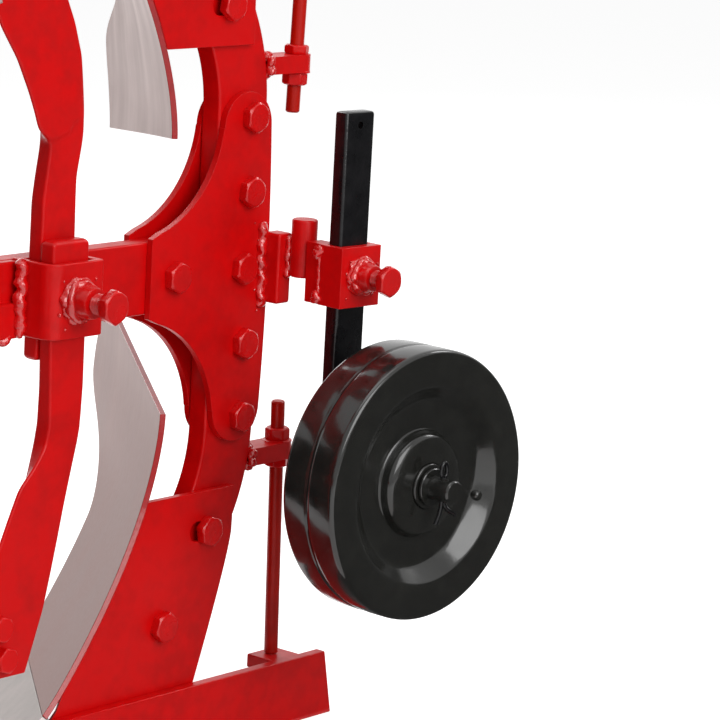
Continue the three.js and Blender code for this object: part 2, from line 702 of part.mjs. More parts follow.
// ---- Turnover spindle, on the beam --------------------------------------------------------
const flangeHalf = FLANGE / 2;
const flangeShape = rectangle(AXIS_Y - flangeHalf, AXIS_Y + flangeHalf, -flangeHalf, flangeHalf);
place("beam_flange", crossPlate(flangeShape, BEAM_FRONT + GAP, FLANGE_THICK), red);
const discRear = BEAM_FRONT + FLANGE_THICK + 2 * GAP;
const latchRadius = DISC_DIAMETER / 2 - 18;
let disc = circle(AXIS_Y, 0, DISC_DIAMETER / 2);
for (const side of [-1, 1]) disc = withHole(disc, circle(AXIS_Y, side * latchRadius, 8));
place("index_disc", crossPlate(disc, discRear, FLANGE_THICK), red);
const spindle = rod([SPINDLE_REAR, AXIS_Y, 0], [HOUSING_FRONT + 30, AXIS_Y, 0], SPINDLE_DIAMETER, 32);
place("spindle", spindle, steel);
const nut = withHole(hexagon(AXIS_Y, 0, 65), circle(AXIS_Y, 0, SPINDLE_DIAMETER / 2 + GAP));
place("spindle_nut", crossPlate(nut, HOUSING_FRONT + RUN_GAP, 22), steel);

// ---- Headstock ----------------------------------------------------------------------------
const housing = withHole(
  circle(AXIS_Y, 0, HOUSING_DIAMETER / 2),
  circle(AXIS_Y, 0, SPINDLE_DIAMETER / 2 + RUN_GAP),
);
place("spindle_housing", crossPlate(housing, HOUSING_REAR, HOUSING_LENGTH), red);

const crossTop = -LOWER_LINK_DROP + CROSS_BAR / 2;
const topLinkX = CROSS_X + 8;
const topLinkZ = MAST_HEIGHT - LOWER_LINK_DROP;
const mastShape = new THREE.Shape();
mastShape.moveTo(CROSS_X - MAST_WIDTH / 2, crossTop + GAP);
mastShape.lineTo(CROSS_X + MAST_WIDTH / 2, crossTop + GAP);
mastShape.lineTo(CROSS_X + MAST_WIDTH / 2, 60);
mastShape.absarc(topLinkX, topLinkZ, 32, 0, Math.PI, false);
mastShape.lineTo(CROSS_X - MAST_WIDTH / 2, 60);
withHole(mastShape, circle(topLinkX, topLinkZ, TOP_LINK_PIN / 2 + RUN_GAP / 2));
for (const [side, left] of [["left", AXIS_Y + MAST_INNER + MAST_THICK], ["right", AXIS_Y - MAST_INNER]])
  place("mast_plate_" + side, plate(mastShape, left, MAST_THICK), red);
const pinReach = MAST_INNER + MAST_THICK + 16;
place(
  "top_link_pin",
  rod([topLinkX, AXIS_Y - pinReach, topLinkZ], [topLinkX, AXIS_Y + pinReach, topLinkZ], TOP_LINK_PIN),
  steel,
);

const earFace = LINK_SPREAD / 2;
const barHalf = earFace - EAR_THICK - GAP;
const crossHalf = CROSS_BAR / 2;
const barShape = rectangle(CROSS_X - crossHalf, CROSS_X + crossHalf, AXIS_Y - barHalf, AXIS_Y + barHalf);
place("cross_bar", column(barShape, crossTop - CROSS_BAR, CROSS_BAR), red);
for (const [side, way] of [["left", 1], ["right", -1]]) {
  const ear = plate(
    rectangle(CROSS_X - 42, CROSS_X + 42, -LOWER_LINK_DROP - 42, -LOWER_LINK_DROP + 42),
    EAR_THICK / 2,
    EAR_THICK,
  ).translate(0, AXIS_Y + way * (earFace - EAR_THICK / 2), 0);
  place("link_ear_" + side, ear, red);
  const start = AXIS_Y + way * (earFace + GAP);
  const end = AXIS_Y + way * (earFace + LOWER_LINK_REACH);
  const pin = rod([CROSS_X, start, -LOWER_LINK_DROP], [CROSS_X, end, -LOWER_LINK_DROP], LOWER_LINK_PIN);
  place("lower_link_pin_" + side, pin, steel);
  const inner = AXIS_Y + way * (MAST_INNER + MAST_THICK + GAP);
  const outer = AXIS_Y + way * (barHalf - 20);
  const brace = polygon(
    [inner, topLinkZ - 40],
    [inner, topLinkZ - 40 - HITCH_BRACE * 2],
    [outer - way * HITCH_BRACE, crossTop + GAP],
    [outer, crossTop + GAP],
  );
  place("hitch_brace_" + side, crossPlate(brace, CROSS_X - 5, 10), red);
}

// The spring plunger that locks the index disc, drawn pulled out of its hole.
const lugFoot = HOUSING_DIAMETER / 2 - 2;
const lugShape = rectangle(AXIS_Y - 14, AXIS_Y + 14, lugFoot, latchRadius + 14);
const latchLug = crossPlate(lugShape, HOUSING_REAR, 14);
const alongSpindle = (from, to, z, diameter) => rod([from, AXIS_Y, z], [to, AXIS_Y, z], diameter, 48);
const lugSeat = alongSpindle(HOUSING_REAR - 5, HOUSING_REAR + 30, 0, HOUSING_DIAMETER + 2 * GAP);
const plunger = alongSpindle(SPINDLE_REAR + RUN_GAP, HOUSING_REAR + 60, latchRadius, 14);
const knob = alongSpindle(HOUSING_REAR + 46, HOUSING_REAR + 62, latchRadius, 26);
place("index_latch", cut(join(latchLug, plunger, knob), lugSeat), steel);

// ---- Parking stand ------------------------------------------------------------------------
const sleeveHalf = STAND_BAR / 2 + RUN_GAP / 2 + STAND_SLEEVE_WALL;
const standX = CROSS_X + crossHalf + GAP + sleeveHalf;
const standY = AXIS_Y + STAND_Y;
const square = (half) => rectangle(standX - half, standX + half, standY - half, standY + half);
const sleeve = withHole(square(sleeveHalf), square(STAND_BAR / 2 + RUN_GAP / 2));
place(
  "stand_sleeve",
  column(sleeve, -LOWER_LINK_DROP - STAND_SLEEVE_HEIGHT / 2, STAND_SLEEVE_HEIGHT),
  red,
);
const standTall = SOLE_DROP + STAND_ABOVE - FOOT_THICK;
place("stand_bar", column(square(STAND_BAR / 2), SOLE + FOOT_THICK + GAP, standTall), black);
place("stand_foot", column(square(FOOT_SIZE / 2), SOLE, FOOT_THICK), black);

// ---- Stand the plough on the ground, centred on its own length and width -----------------
plough.updateMatrixWorld(true);
const middle = new THREE.Box3().setFromObject(plough, true).getCenter(new THREE.Vector3());
plough.position.set(-middle.x, -middle.y, SOLE_DROP);

export default group;
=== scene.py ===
"""A single-furrow reversible moldboard plough, dressed over its CAD frame.

The file follows the plough as it is put together: plates and legs, the two bodies, stays,
the depth wheel, the skimmers, the turnover spindle, the headstock and the parking stand.
Shapes are worked out in millimetres from the left gusset plate's bolt column.
"""

import json
import math

import bmesh
import bpy
import numpy as np
from mathutils import Matrix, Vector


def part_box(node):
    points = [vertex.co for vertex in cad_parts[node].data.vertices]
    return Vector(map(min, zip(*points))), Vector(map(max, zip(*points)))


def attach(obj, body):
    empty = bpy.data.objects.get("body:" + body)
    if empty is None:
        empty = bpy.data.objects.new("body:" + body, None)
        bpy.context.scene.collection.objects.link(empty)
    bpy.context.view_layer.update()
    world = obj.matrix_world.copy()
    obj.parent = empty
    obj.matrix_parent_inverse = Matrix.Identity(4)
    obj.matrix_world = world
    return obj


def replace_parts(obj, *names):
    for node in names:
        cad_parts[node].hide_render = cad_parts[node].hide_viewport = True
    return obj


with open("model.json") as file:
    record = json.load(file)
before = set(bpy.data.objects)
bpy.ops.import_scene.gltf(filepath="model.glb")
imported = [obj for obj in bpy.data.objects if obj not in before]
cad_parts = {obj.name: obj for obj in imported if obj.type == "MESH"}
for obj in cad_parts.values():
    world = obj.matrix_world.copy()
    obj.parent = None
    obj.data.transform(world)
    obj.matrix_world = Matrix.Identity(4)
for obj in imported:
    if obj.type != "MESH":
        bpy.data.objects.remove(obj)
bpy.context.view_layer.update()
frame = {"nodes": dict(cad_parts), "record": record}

# ---- Gusset plates, legs and beam -----------------------------------------------------------
# Two flame-cut 6 mm plates clamp the 60 x 20 mm flat bars of beam and legs between them.
# All are mild steel, sprayed in red gloss enamel after welding, so each edge is softened.
GUSSET_REACH = 0.1144  # from the bolt column to the plates' front edge, in metres
plate_low, plate_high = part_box("gusset_plate_left")
COLUMN = np.array([plate_high.x - GUSSET_REACH, plate_high.y, (plate_low.z + plate_high.z) / 2])
OWNER = {node: body for body, nodes in frame["record"]["behaviour"]["bodies"].items() for node in nodes}


def colour(code):
    """An sRGB hex colour in linear light: a straight foot, then the 2.4 power curve."""
    parts = [int(code[i : i + 2], 16) / 255 for i in (1, 3, 5)]
    return [c / 12.92 if c <= 0.04045 else ((c + 0.055) / 1.055) ** 2.4 for c in parts] + [1.0]


def add(tree, kind, inputs=(), **settings):
    """One shader node with its settings. Each input is a value, another node's output, or a
    node itself, which stands for its first output."""
    node = tree.nodes.new("ShaderNode" + kind)
    for key, value in settings.items():
        setattr(node, key, value)
    for socket, value in dict(inputs).items():
        if isinstance(value, bpy.types.Node):
            value = value.outputs[0]
        if isinstance(value, bpy.types.NodeSocket):
            tree.links.new(value, node.inputs[socket])
        else:
            node.inputs[socket].default_value = value
    return node


def emptied(name):
    """A new material and its node tree, with nothing in it yet."""
    material = bpy.data.materials.new(name)
    material.use_nodes = True
    material.node_tree.nodes.clear()
    return material, material.node_tree


def placed(name, data):
    """A new object that shows the data, linked to the scene."""
    made = bpy.data.objects.new(name, data)
    bpy.context.scene.collection.objects.link(made)
    return made


def enamel(name, full, thin, shine, peel, edge="#6E0E0A", edge_share=0.35, coat=0.04, gloss=0.2, lump=0.0):
    """Sprayed gloss enamel: an even coat with clouds where it went on thinner, an orange-peel
    surface over rolled steel's slow waves, and a thin worn line along every sharp edge."""
    material, tree = emptied(name)
    place = add(tree, "TexCoord").outputs["Object"]
    # Clouds about 90 mm across, then blotches of 14 mm where the coat is thin.
    clouds = add(tree, "TexNoise", {"Vector": place, "Scale": 11.0, "Detail": 3.0})
    blotch = add(tree, "TexNoise", {"Vector": place, "Scale": 70.0, "Detail": 4.0})
    both = add(tree, "Math", {0: clouds, 1: blotch}, operation="MULTIPLY")
    share = add(tree, "MapRange", {"Value": both, "From Min": 0.18, "From Max": 0.38, "To Max": 0.55})
    body = add(tree, "Mix", {0: share, 6: colour(full), 7: colour(thin)}, data_type="RGBA")
    # Paint draws back from sharp edges: the rounded normal differs from the true one there.
    rounded = add(tree, "Bevel", {"Radius": 0.0011}, samples=4)
    true = add(tree, "NewGeometry")
    same = add(tree, "VectorMath", {0: rounded, 1: true.outputs["Normal"]}, operation="DOT_PRODUCT")
    worn = add(
        tree,
        "MapRange",
        {"Value": same.outputs["Value"], "From Min": 0.995, "From Max": 0.80, "To Max": edge_share},
    )
    nicks = add(tree, "TexNoise", {"Vector": place, "Scale": 160.0, "Detail": 5.0})
    chips = add(tree, "MapRange", {"Value": nicks, "From Min": 0.42, "From Max": 0.62})
    edge_mask = add(tree, "Math", {0: worn, 1: chips}, operation="MULTIPLY")
    paint = add(tree, "Mix", {0: edge_mask, 6: body.outputs[2], 7: colour(edge)}, data_type="RGBA")
    # Orange peel of 4 mm, and the 25 mm waves of hot-rolled bar under it.
    fine = add(tree, "TexNoise", {"Vector": place, "Scale": 240.0, "Detail": 2.0})
    waves = add(tree, "TexNoise", {"Vector": place, "Scale": 38.0, "Detail": 3.0})
    swell = add(tree, "Bump", {"Height": waves, "Distance": 0.0012, "Strength": peel})
    skin = add(tree, "Bump", {"Height": fine, "Distance": 0.00022, "Strength": peel, "Normal": swell})
    if lump:
        # Forging scale, pits and runs of 5 mm, on welds and bolts only.
        pits = add(tree, "TexNoise", {"Vector": place, "Scale": 190.0, "Detail": 2.0, "Roughness": 0.4})
        skin = add(tree, "Bump", {"Height": pits, "Distance": 0.0025, "Strength": lump, "Normal": skin})
    rough = add(
        tree,
        "MapRange",
        {"Value": blotch, "From Min": 0.3, "From Max": 0.7, "To Min": shine, "To Max": shine + 0.12},
    )
    shader = add(
        tree,
        "BsdfPrincipled",
        {
            "Base Color": paint.outputs[2],
            "Roughness": rough,
            "Normal": skin,
            "Specular IOR Level": gloss,
            "Coat Weight": coat,
            "Coat Roughness": 0.08,
            "Coat Normal": skin,
        },
    )
    add(tree, "OutputMaterial", {"Surface": shader})
    return material


RED = enamel("gloss_red_enamel", "#D00709", "#AE0405", 0.28, 0.35)


def softened(node, width, material):
    """A copy of a CAD node with its loose triangles joined, flat faces made whole and every
    sharp edge rolled over by the width of the flame cut and the paint on it, in mm."""
    mesh = frame["nodes"][node].data.copy()
    work = bmesh.new()
    work.from_mesh(mesh)
    bmesh.ops.remove_doubles(work, verts=work.verts, dist=1e-5)
    bmesh.ops.dissolve_limit(work, angle_limit=0.008, verts=work.verts, edges=work.edges)
    work.to_mesh(mesh)
    work.free()
    mesh.materials.clear()
    mesh.materials.append(material)
    mesh.polygons.foreach_set("use_smooth", np.ones(len(mesh.polygons), bool))
    copy = placed(node + "_painted", mesh)
    roll = copy.modifiers.new("rolled_edge", "BEVEL")
    roll.width = width * 0.001
    roll.segments = 3
    roll.limit_method = "ANGLE"
    roll.angle_limit = math.radians(28)
    roll.use_clamp_overlap = True
    flat = copy.modifiers.new("flat_faces", "WEIGHTED_NORMAL")
    flat.weight = 100
    flat.keep_sharp = True
    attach(copy, OWNER[node])
    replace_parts(copy, node)
    return copy


for node, width in [("gusset_plate_left", 1.1), ("gusset_plate_right", 1.1), ("beam", 2.2)]:
    softened(node, width, RED)
for side in ("lower", "upper"):
    softened("leg_" + side, 2.6, RED)

# ---- Bolts of the gussets and frogs ---------------------------------------------------------
# M16 hexagon bolts, 24 mm across flats, go through plates and bars from the left.
# They were painted with the rest, which rounds their corners. Nuts sit on the right.
PLATE_RIGHT = -32.6  # the right plate's outer face
BAR_RIGHT = -26.3  # the right face of beam and legs
BOLT = {"flats": 23.6, "head": 8.8, "nut": 13.0, "thread": 16.0, "end": 6.0}
GUSSET_BOLTS = [(0, 127), (0, 64.2), (5.2, 0), (0, -64.2), (0, -127), (86.4, 0)]
FROG_BOLTS = [(34, -221, 0.2), (85, -296, 0.75)]  # x, z and the head's turn
RED_BOLT = enamel(
    "enamel_over_forged_bolt", "#D0080A", "#A80506", 0.22, 0.9, coat=0.15, gloss=0.35, lump=0.12
)


def loft(rings, loop=False):
    """A closed skin over rings[i, j]: j goes round a ring and i goes along the piece. The last
    ring joins the first where the piece is a loop; else each end is a fan to its middle."""
    count, around, _ = rings.shape
    points = rings.reshape(-1, 3)
    i, j = np.meshgrid(np.arange(count if loop else count - 1), np.arange(around), indexing="ij")
    here, there = i * around, (i + 1) % count * around
    turn = (j + 1) % around
    faces = np.stack([here + j, here + turn, there + turn, there + j], -1).reshape(-1, 4).tolist()
    if not loop:
        k = np.arange(around)
        far = (count - 1) * around
        first, last = np.full(around, len(points)), np.full(around, len(points) + 1)
        faces += np.stack([(k + 1) % around, k, first], -1).tolist()
        faces += np.stack([far + k, far + (k + 1) % around, last], -1).tolist()
        points = np.vstack([points, rings[0].mean(0), rings[-1].mean(0)])
    return points, faces


def across(way):
    """Unit vectors along way and two that stand square to it, the second nearest to upright."""
    w = np.array(way, float) / np.linalg.norm(way)
    a = np.cross((0, 0, 1), w)
    if np.linalg.norm(a) < 1e-6:
        a = np.cross((1, 0, 0), w)
    a /= np.linalg.norm(a)
    return w, a, np.cross(w, a)


def turned(profile, centre, way, sides=48, loop=False):
    """A turned piece: each (radius, place) of the profile is swept round the line through
    centre along way."""
    w, a, b = across(way)
    angle = np.linspace(0, 2 * np.pi, sides, endpoint=False)[None, :, None]
    radius, along = np.array(profile, float).T[:, :, None, None]
    return loft(np.array(centre, float) + along * w + radius * (np.cos(angle) * a + np.sin(angle) * b), loop)


def hexagon(centre, way, flats, height, turn=0.0, soft=0.6):
    """A hexagon head or nut: the radius is the lesser of a hexagon's, flats / 2 / cos(angle
    from the flat), and that of a cone which takes its corners off at the top."""
    w, a, b = across(way)
    angle = np.linspace(0, 2 * np.pi, 72, endpoint=False)
    off = (angle - turn + np.pi / 6) % (np.pi / 3) - np.pi / 6
    six = flats / 2 / np.cos(off)
    six = np.minimum(six, flats / 2 * 1.125 + 0.25 * np.cos(3 * off))
    level = np.array([0, 0.25, 0.6, 0.75, 0.84, 0.91, 0.97, 1.0, 1.0]) * height
    cone = flats / 2 * 0.93 + (height - level) * 1.5
    cone[-1] = flats / 2 * 0.84
    radius = np.minimum(six[None, :], cone[:, None])
    radius[0] -= soft
    ring = radius[:, :, None] * (np.cos(angle)[None, :, None] * a + np.sin(angle)[None, :, None] * b)
    return loft(np.array(centre, float) + level[:, None, None] * w + ring)


def thread(centre, way, length, diameter, pitch=2.0):
    """A threaded end: rings every quarter pitch whose radius follows the thread's cosine,
    with a chamfer over the last 1.2 mm."""
    s = np.arange(0, length + pitch / 8, pitch / 4)
    r = diameter / 2 - 0.06 * diameter * pitch / 2 * (0.5 - 0.5 * np.cos(2 * np.pi * s / pitch))
    r = np.minimum(r, diameter / 2 - 1.2 + (length - s))
    return turned(np.stack([r, s], 1), centre, way, 32)


def piece(name, parts, material, body, crease=38, mirror=False):
    """One object from closed skins in mm from the bolt column. Skins that enclose a negative
    volume are turned to face outwards; mirror gives the same piece above the beam."""
    points, faces = [], []
    for p, f in parts:
        p = p * (1, 1, -1) if mirror else p
        volume = 0.0
        for count in (3, 4):
            some = np.array([q for q in f if len(q) == count], int).reshape(-1, count)
            for corner in range(1, count - 1):
                a, b, c = p[some[:, 0]], p[some[:, corner]], p[some[:, corner + 1]]
                volume += np.einsum("ij,ij->i", a, np.cross(b, c)).sum()
        start = sum(len(q) for q in points)
        faces += [[start + v for v in (q[::-1] if volume < 0 else q)] for q in f]
        points.append(p)
    mesh = bpy.data.meshes.new(name)
    mesh.from_pydata((np.vstack(points) * 0.001 + COLUMN).tolist(), [], faces)
    mesh.polygons.foreach_set("use_smooth", np.ones(len(faces), bool))
    mesh.set_sharp_from_angle(angle=math.radians(crease))
    mesh.materials.append(material)
    made = placed(name, mesh)
    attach(made, body)
    return made


LEFT, RIGHT = (0, 1, 0), (0, -1, 0)
FORWARD, BACKWARD = (1, 0, 0), (-1, 0, 0)
UPRIGHT = (0, 0, 1)
heads, nuts = [], []
for k, (x, z) in enumerate(GUSSET_BOLTS):
    # No two heads or nuts stopped at the same turn.
    heads.append(hexagon((x, 0, z), LEFT, BOLT["flats"], BOLT["head"], 0.14 * math.sin(5.1 * k)))
    nuts.append(hexagon((x, PLATE_RIGHT, z), RIGHT, BOLT["flats"], BOLT["nut"], 0.9 * k))
    nuts.append(thread((x, PLATE_RIGHT - BOLT["nut"] + 1, z), RIGHT, BOLT["end"], BOLT["thread"]))
piece("gusset_bolt_heads", heads, RED_BOLT, "beam")
piece("gusset_bolt_nuts", nuts, RED_BOLT, "beam")

for side in ("lower", "upper"):
    softened("frog_plate_" + side, 1.1, RED)
    bolts = []
    for x, z, turn in FROG_BOLTS:
        bolts.append(hexagon((x, 0, z), LEFT, BOLT["flats"], BOLT["head"], turn))
        bolts.append(hexagon((x, BAR_RIGHT, z), RIGHT, BOLT["flats"], BOLT["nut"], turn + 0.3))
        bolts.append(thread((x, BAR_RIGHT - BOLT["nut"] + 1, z), RIGHT, BOLT["end"], BOLT["thread"]))
    piece("frog_bolts_" + side, bolts, RED_BOLT, "beam", mirror=side == "upper")

# ---- Moldboards, shares and landsides -------------------------------------------------------
# The moldboard is one pressed sheet of 5 mm three-ply steel. Its face is ground and lacquered,
# its back and cut rim are painted. The share below is forged; the landside slides on the furrow.
BOARD = {"thick": 5.0, "inset": 1.5, "angle": 49.5, "twist": 2.5, "foot": -347.7, "top": -114.0}
SHIN = {"top_x": 95.5, "curve": 0.0115, "power": 1.7, "toe": -330, "toe_curve": 0.012, "toe_power": 1.75}
TWIST = {"at": -185, "over": 15}
ACROSS = {"widest": 392.0, "top": 362.0, "foot": 236.0, "tail_rise": 38.0}
WIDENS, NARROWS_FROM = (-250, -150), -140
GRID = (48, 72)  # squares of the sheet, from shin to tail and from foot to top


def ground_steel(name, light, low, dark, rough, band=26.0):
    """Ground and lacquered sheet steel: bands left by the press, fine upright grinding lines
    and the faint smudges of handling. Painted light and shade: the colour is lighter towards the top and
    darker and pinker towards the sole."""
    material, tree = emptied(name)
    place = add(tree, "TexCoord").outputs["Object"]
    # Bands run up the sheet, so the pattern is 14 times longer in height than across.
    tall = add(tree, "Mapping", {"Vector": place, "Scale": (1.0, 1.0, 0.07)})
    bands = add(tree, "TexNoise", {"Vector": tall, "Scale": band, "Detail": 2.0})
    lines = add(tree, "TexNoise", {"Vector": tall, "Scale": 620.0, "Detail": 2.0})
    smudge = add(tree, "TexNoise", {"Vector": place, "Scale": 18.0, "Detail": 5.0})
    soft = add(tree, "MapRange", {"Value": bands, "From Min": 0.3, "From Max": 0.7, "To Max": 0.55})
    # Painted light and shade by height: the low colour near the sole, blending to the light colour higher
    # up.
    height = add(tree, "SeparateXYZ", {"Vector": place})
    rise = add(tree, "MapRange", {"Value": height.outputs[2], "From Min": 0.2, "From Max": 0.62})
    painted_height_shade = add(tree, "Mix", {0: rise, 6: colour(low), 7: colour(light)}, data_type="RGBA")
    tone = add(tree, "Mix", {0: soft, 6: painted_height_shade.outputs[2], 7: colour(dark)}, data_type="RGBA")
    dull = add(tree, "MapRange", {"Value": smudge, "From Min": 0.35, "From Max": 0.75, "To Max": 0.4})
    grey = add(tree, "Mix", {0: dull, 6: tone.outputs[2], 7: colour(dark)}, data_type="RGBA")
    lines_in = add(
        tree,
        "MapRange",
        {"Value": lines, "From Min": 0.3, "From Max": 0.7, "To Min": rough, "To Max": rough + 0.05},
    )
    bump = add(tree, "Bump", {"Height": lines, "Distance": 0.00003, "Strength": 0.25})
    shader = add(
        tree,
        "BsdfPrincipled",
        {"Base Color": grey.outputs[2], "Metallic": 0.6, "Roughness": lines_in, "Normal": bump},
    )
    add(tree, "OutputMaterial", {"Surface": shader})
    return material


# The low colour is painted shade near the sole and the light colour is painted light higher up.
STEEL = ground_steel("lacquered_ground_steel", "#CAB7B3", "#8D6A64", "#8B706B", 0.42)
SHARE = ground_steel("forged_share_steel", "#B9B2AE", "#A69C98", "#8F8884", 0.36, band=60.0)


def board_point(s, z):
    """The working face: level lines that leave the shin at 49.5 degrees to the travel, turned
    2.5 degrees more above 185 mm below the beam by a steep logistic curve. The shin runs
    forward as the 1.7th power of the depth below its top, and faster at its toe."""
    down = np.maximum(0, BOARD["top"] - z)
    low = np.maximum(0, SHIN["toe"] - z)
    shin = SHIN["top_x"] + SHIN["curve"] * down ** SHIN["power"]
    shin += SHIN["toe_curve"] * low ** SHIN["toe_power"]
    twist = BOARD["twist"] / (1 + np.exp(-(z - TWIST["at"]) / TWIST["over"]))
    angle = np.radians(BOARD["angle"] + twist)
    return np.stack([shin - s * np.cos(angle), -BOARD["inset"] - s * np.sin(angle), z + 0 * s], -1)


def smoothstep(x, low, high):
    """From 0 below low to 1 above high, by 3 t squared less 2 t cubed."""
    t = np.clip((x - low) / (high - low), 0, 1)
    return t * t * (3 - 2 * t)


def board_sheet():
    """The face on a grid of 48 x 72, u from shin to tail and v from foot to top, with the same
    grid set back 5 mm along the face's normal, joined round the rim."""
    u, v = np.meshgrid(np.linspace(0, 1, GRID[0] + 1), np.linspace(0, 1, GRID[1] + 1), indexing="ij")
    z = BOARD["foot"] + v * (ACROSS["tail_rise"] * u + BOARD["top"] - BOARD["foot"])
    wide = ACROSS["foot"] + (ACROSS["widest"] - ACROSS["foot"]) * smoothstep(z, *WIDENS)
    tail_top = ACROSS["tail_rise"] + BOARD["top"]
    wide -= (ACROSS["widest"] - ACROSS["top"]) * smoothstep(z, NARROWS_FROM, tail_top)
    s = u * wide
    face = board_point(s, z)
    along = board_point(s + 1, z) - board_point(s - 1, z)
    up = board_point(s, z + 1) - board_point(s, z - 1)
    normal = np.cross(up, along)
    normal /= np.linalg.norm(normal, axis=-1, keepdims=True)
    back = face - normal * BOARD["thick"]
    rows = face.shape[1]
    points = np.vstack([face.reshape(-1, 3), back.reshape(-1, 3)])
    half = face.shape[0] * rows
    i, j = np.meshgrid(np.arange(face.shape[0] - 1), np.arange(rows - 1), indexing="ij")
    a = (i * rows + j).reshape(-1)
    quads = [np.stack([a, a + 1, a + rows + 1, a + rows], -1)]
    quads.append(quads[0][:, ::-1] + half)
    last = (face.shape[0] - 1) * rows
    foot = np.arange(face.shape[0] - 1) * rows
    shin = np.arange(rows - 1)
    quads.append(np.stack([foot, foot + rows, foot + rows + half, foot + half], -1))
    quads.append(np.stack([foot, foot + half, foot + rows + half, foot + rows], -1) + rows - 1)
    quads.append(np.stack([shin, shin + half, shin + 1 + half, shin + 1], -1))
    quads.append(np.stack([shin, shin + 1, shin + 1 + half, shin + half], -1) + last)
    return points, np.vstack(quads).tolist()


RIM_RED = enamel("enamel_over_cut_rim", "#A8080E", "#88060A", 0.10, 0.5, coat=0.1, gloss=0.35)
for side, flip in [("lower", False), ("upper", True)]:
    board = piece("moldboard_sheet_" + side, [board_sheet()], STEEL, "beam", mirror=flip)
    # Back and rim carry the red enamel; only the working face was ground and lacquered.
    board.data.materials.append(RED)
    board.data.materials.append(RIM_RED)
    squares = GRID[0] * GRID[1]
    coat = np.full(len(board.data.polygons), 2, np.int32)
    coat[: 2 * squares] = 1
    coat[:squares] = 0
    board.data.polygons.foreach_set("material_index", coat)
    rim = board.modifiers.new("cut_rim", "BEVEL")
    rim.width = 0.0006
    rim.segments = 2
    rim.limit_method = "ANGLE"
    rim.angle_limit = math.radians(50)
    rim.harden_normals = True
    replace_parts(board, "moldboard_" + side)
    softened("share_" + side, 0.5, SHARE)
    softened("landside_" + side, 1.2, RED)

# ---- Stays behind the legs and braces of the moldboards --------------------------------------
# A 12 mm rod from the landside's heel goes through an arm welded to the leg, between two nuts.
# A second rod goes from the leg to the back of the moldboard.
AXIS_Y = -16.3
ROD = {"top": -125.0, "x": -69.0, "lean": math.tan(math.radians(1.7)), "foot": -351.4}
ARM = {"top": -160, "under": -175, "left": -5.6, "right": -27.2}
ROD_RED = enamel("thin_red_enamel", "#B81406", "#941204", 0.30, 0.5)


def rod_x(z):
    """The rod's middle at a height: it leans 1.7 degrees from the upright."""
    return ROD["x"] + (z - ROD["top"]) * ROD["lean"]


def path_of(points, step):
    """Points spaced evenly along a broken line, by its length."""
    points = np.array(points, float)
    reach = np.concatenate([[0], np.cumsum(np.linalg.norm(np.diff(points, axis=0), axis=1))])
    at = np.linspace(0, reach[-1], max(4, int(reach[-1] / step) + 1))
    return np.stack([np.interp(at, reach, points[:, k]) for k in range(3)], 1), at


def tube(path, radius, up=(0, 0, 1), sides=12, loop=False):
    """A round section of the given radius, one for all, one a place or one a place and side,
    carried along a path, square to its tangent."""
    path = np.array(path, float)
    if loop:
        tangent = np.roll(path, -1, 0) - np.roll(path, 1, 0)
    else:
        tangent = np.gradient(path, axis=0)
    tangent /= np.linalg.norm(tangent, axis=1, keepdims=True)
    a = np.cross(np.array(up, float), tangent)
    a /= np.linalg.norm(a, axis=1, keepdims=True)
    b = np.cross(tangent, a)
    angle = np.linspace(0, 2 * np.pi, sides, endpoint=False)[None, :, None]
    size = np.array(radius, float).reshape(len(path) if np.size(radius) > 1 else 1, -1)[:, :, None]
    ring = np.cos(angle) * a[:, None, :] + np.sin(angle) * b[:, None, :]
    return loft(path[:, None, :] + size * ring, loop)


def lumps(at, sides, depth, chance):
    """How much a bead's radius swells at each place and side: eight waves of 8 to 19 mm that
    run along and around it with chance phases, summed and scaled to the depth."""
    angle = np.linspace(0, 2 * np.pi, sides, endpoint=False)[None, :]
    total = np.zeros((len(at), sides))
    for _ in range(8):
        turns, length = chance.integers(0, 3), chance.uniform(8, 19)
        total += np.cos(2 * np.pi * at[:, None] / length + turns * angle + chance.uniform(0, 2 * np.pi))
    return 1 + depth * total / 2.8


def weld(points, width, seed, up=(0, 0, 1), pitch=4.6):
    """A bead along a line: its radius swells once in each ripple and in lumps, the line wanders
    by a tenth of the width, and both ends round off."""
    chance = np.random.default_rng(seed)
    path, at = path_of(points, pitch / 7)
    wander = np.interp(at, np.linspace(0, at[-1] + 1, 9), chance.uniform(-1, 1, 9))
    radius = width / 2 * (0.90 + 0.08 * np.abs(np.sin(np.pi * at / pitch + 1.2 * wander)))
    ends = np.minimum(at, at[-1] - at) / (width / 2)
    radius *= np.sqrt(np.clip(1 - (1 - np.clip(ends, 0.02, 1)) ** 2, 0.02, 1))
    tangent = np.gradient(path, axis=0)
    side = np.cross(np.array(up, float), tangent)
    side /= np.maximum(np.linalg.norm(side, axis=1, keepdims=True), 1e-6)
    line = path + side * (wander * width * 0.1)[:, None]
    return tube(line, radius[:, None] * lumps(at, 18, 0.2, chance), up, 18)


def weld_ring(centre, way, radius, width, seed):
    """Two passes round a boss: one on the face and a smaller one laid on it against the boss."""
    chance = np.random.default_rng(seed)
    w, a, b = across(way)
    turn = np.linspace(0, 2 * np.pi, 130, endpoint=False)
    line = np.cos(turn)[:, None] * a + np.sin(turn)[:, None] * b
    beads = []
    for ring, rise, size in [(radius, 0.1, 0.6), (radius - 0.2 * width, 0.7, 0.55)]:
        swell = np.ones((130, 16))
        angle = np.linspace(0, 2 * np.pi, 16, endpoint=False)[None, :]
        for _ in range(8):
            along, turns = chance.integers(2, 12), chance.integers(0, 3)
            swell += 0.07 * np.cos(along * turn[:, None] + turns * angle + chance.uniform(0, 2 * np.pi))
        beads.append(tube(centre + w * width * rise + ring * line, width * size * swell, w, 16, loop=True))
    return beads


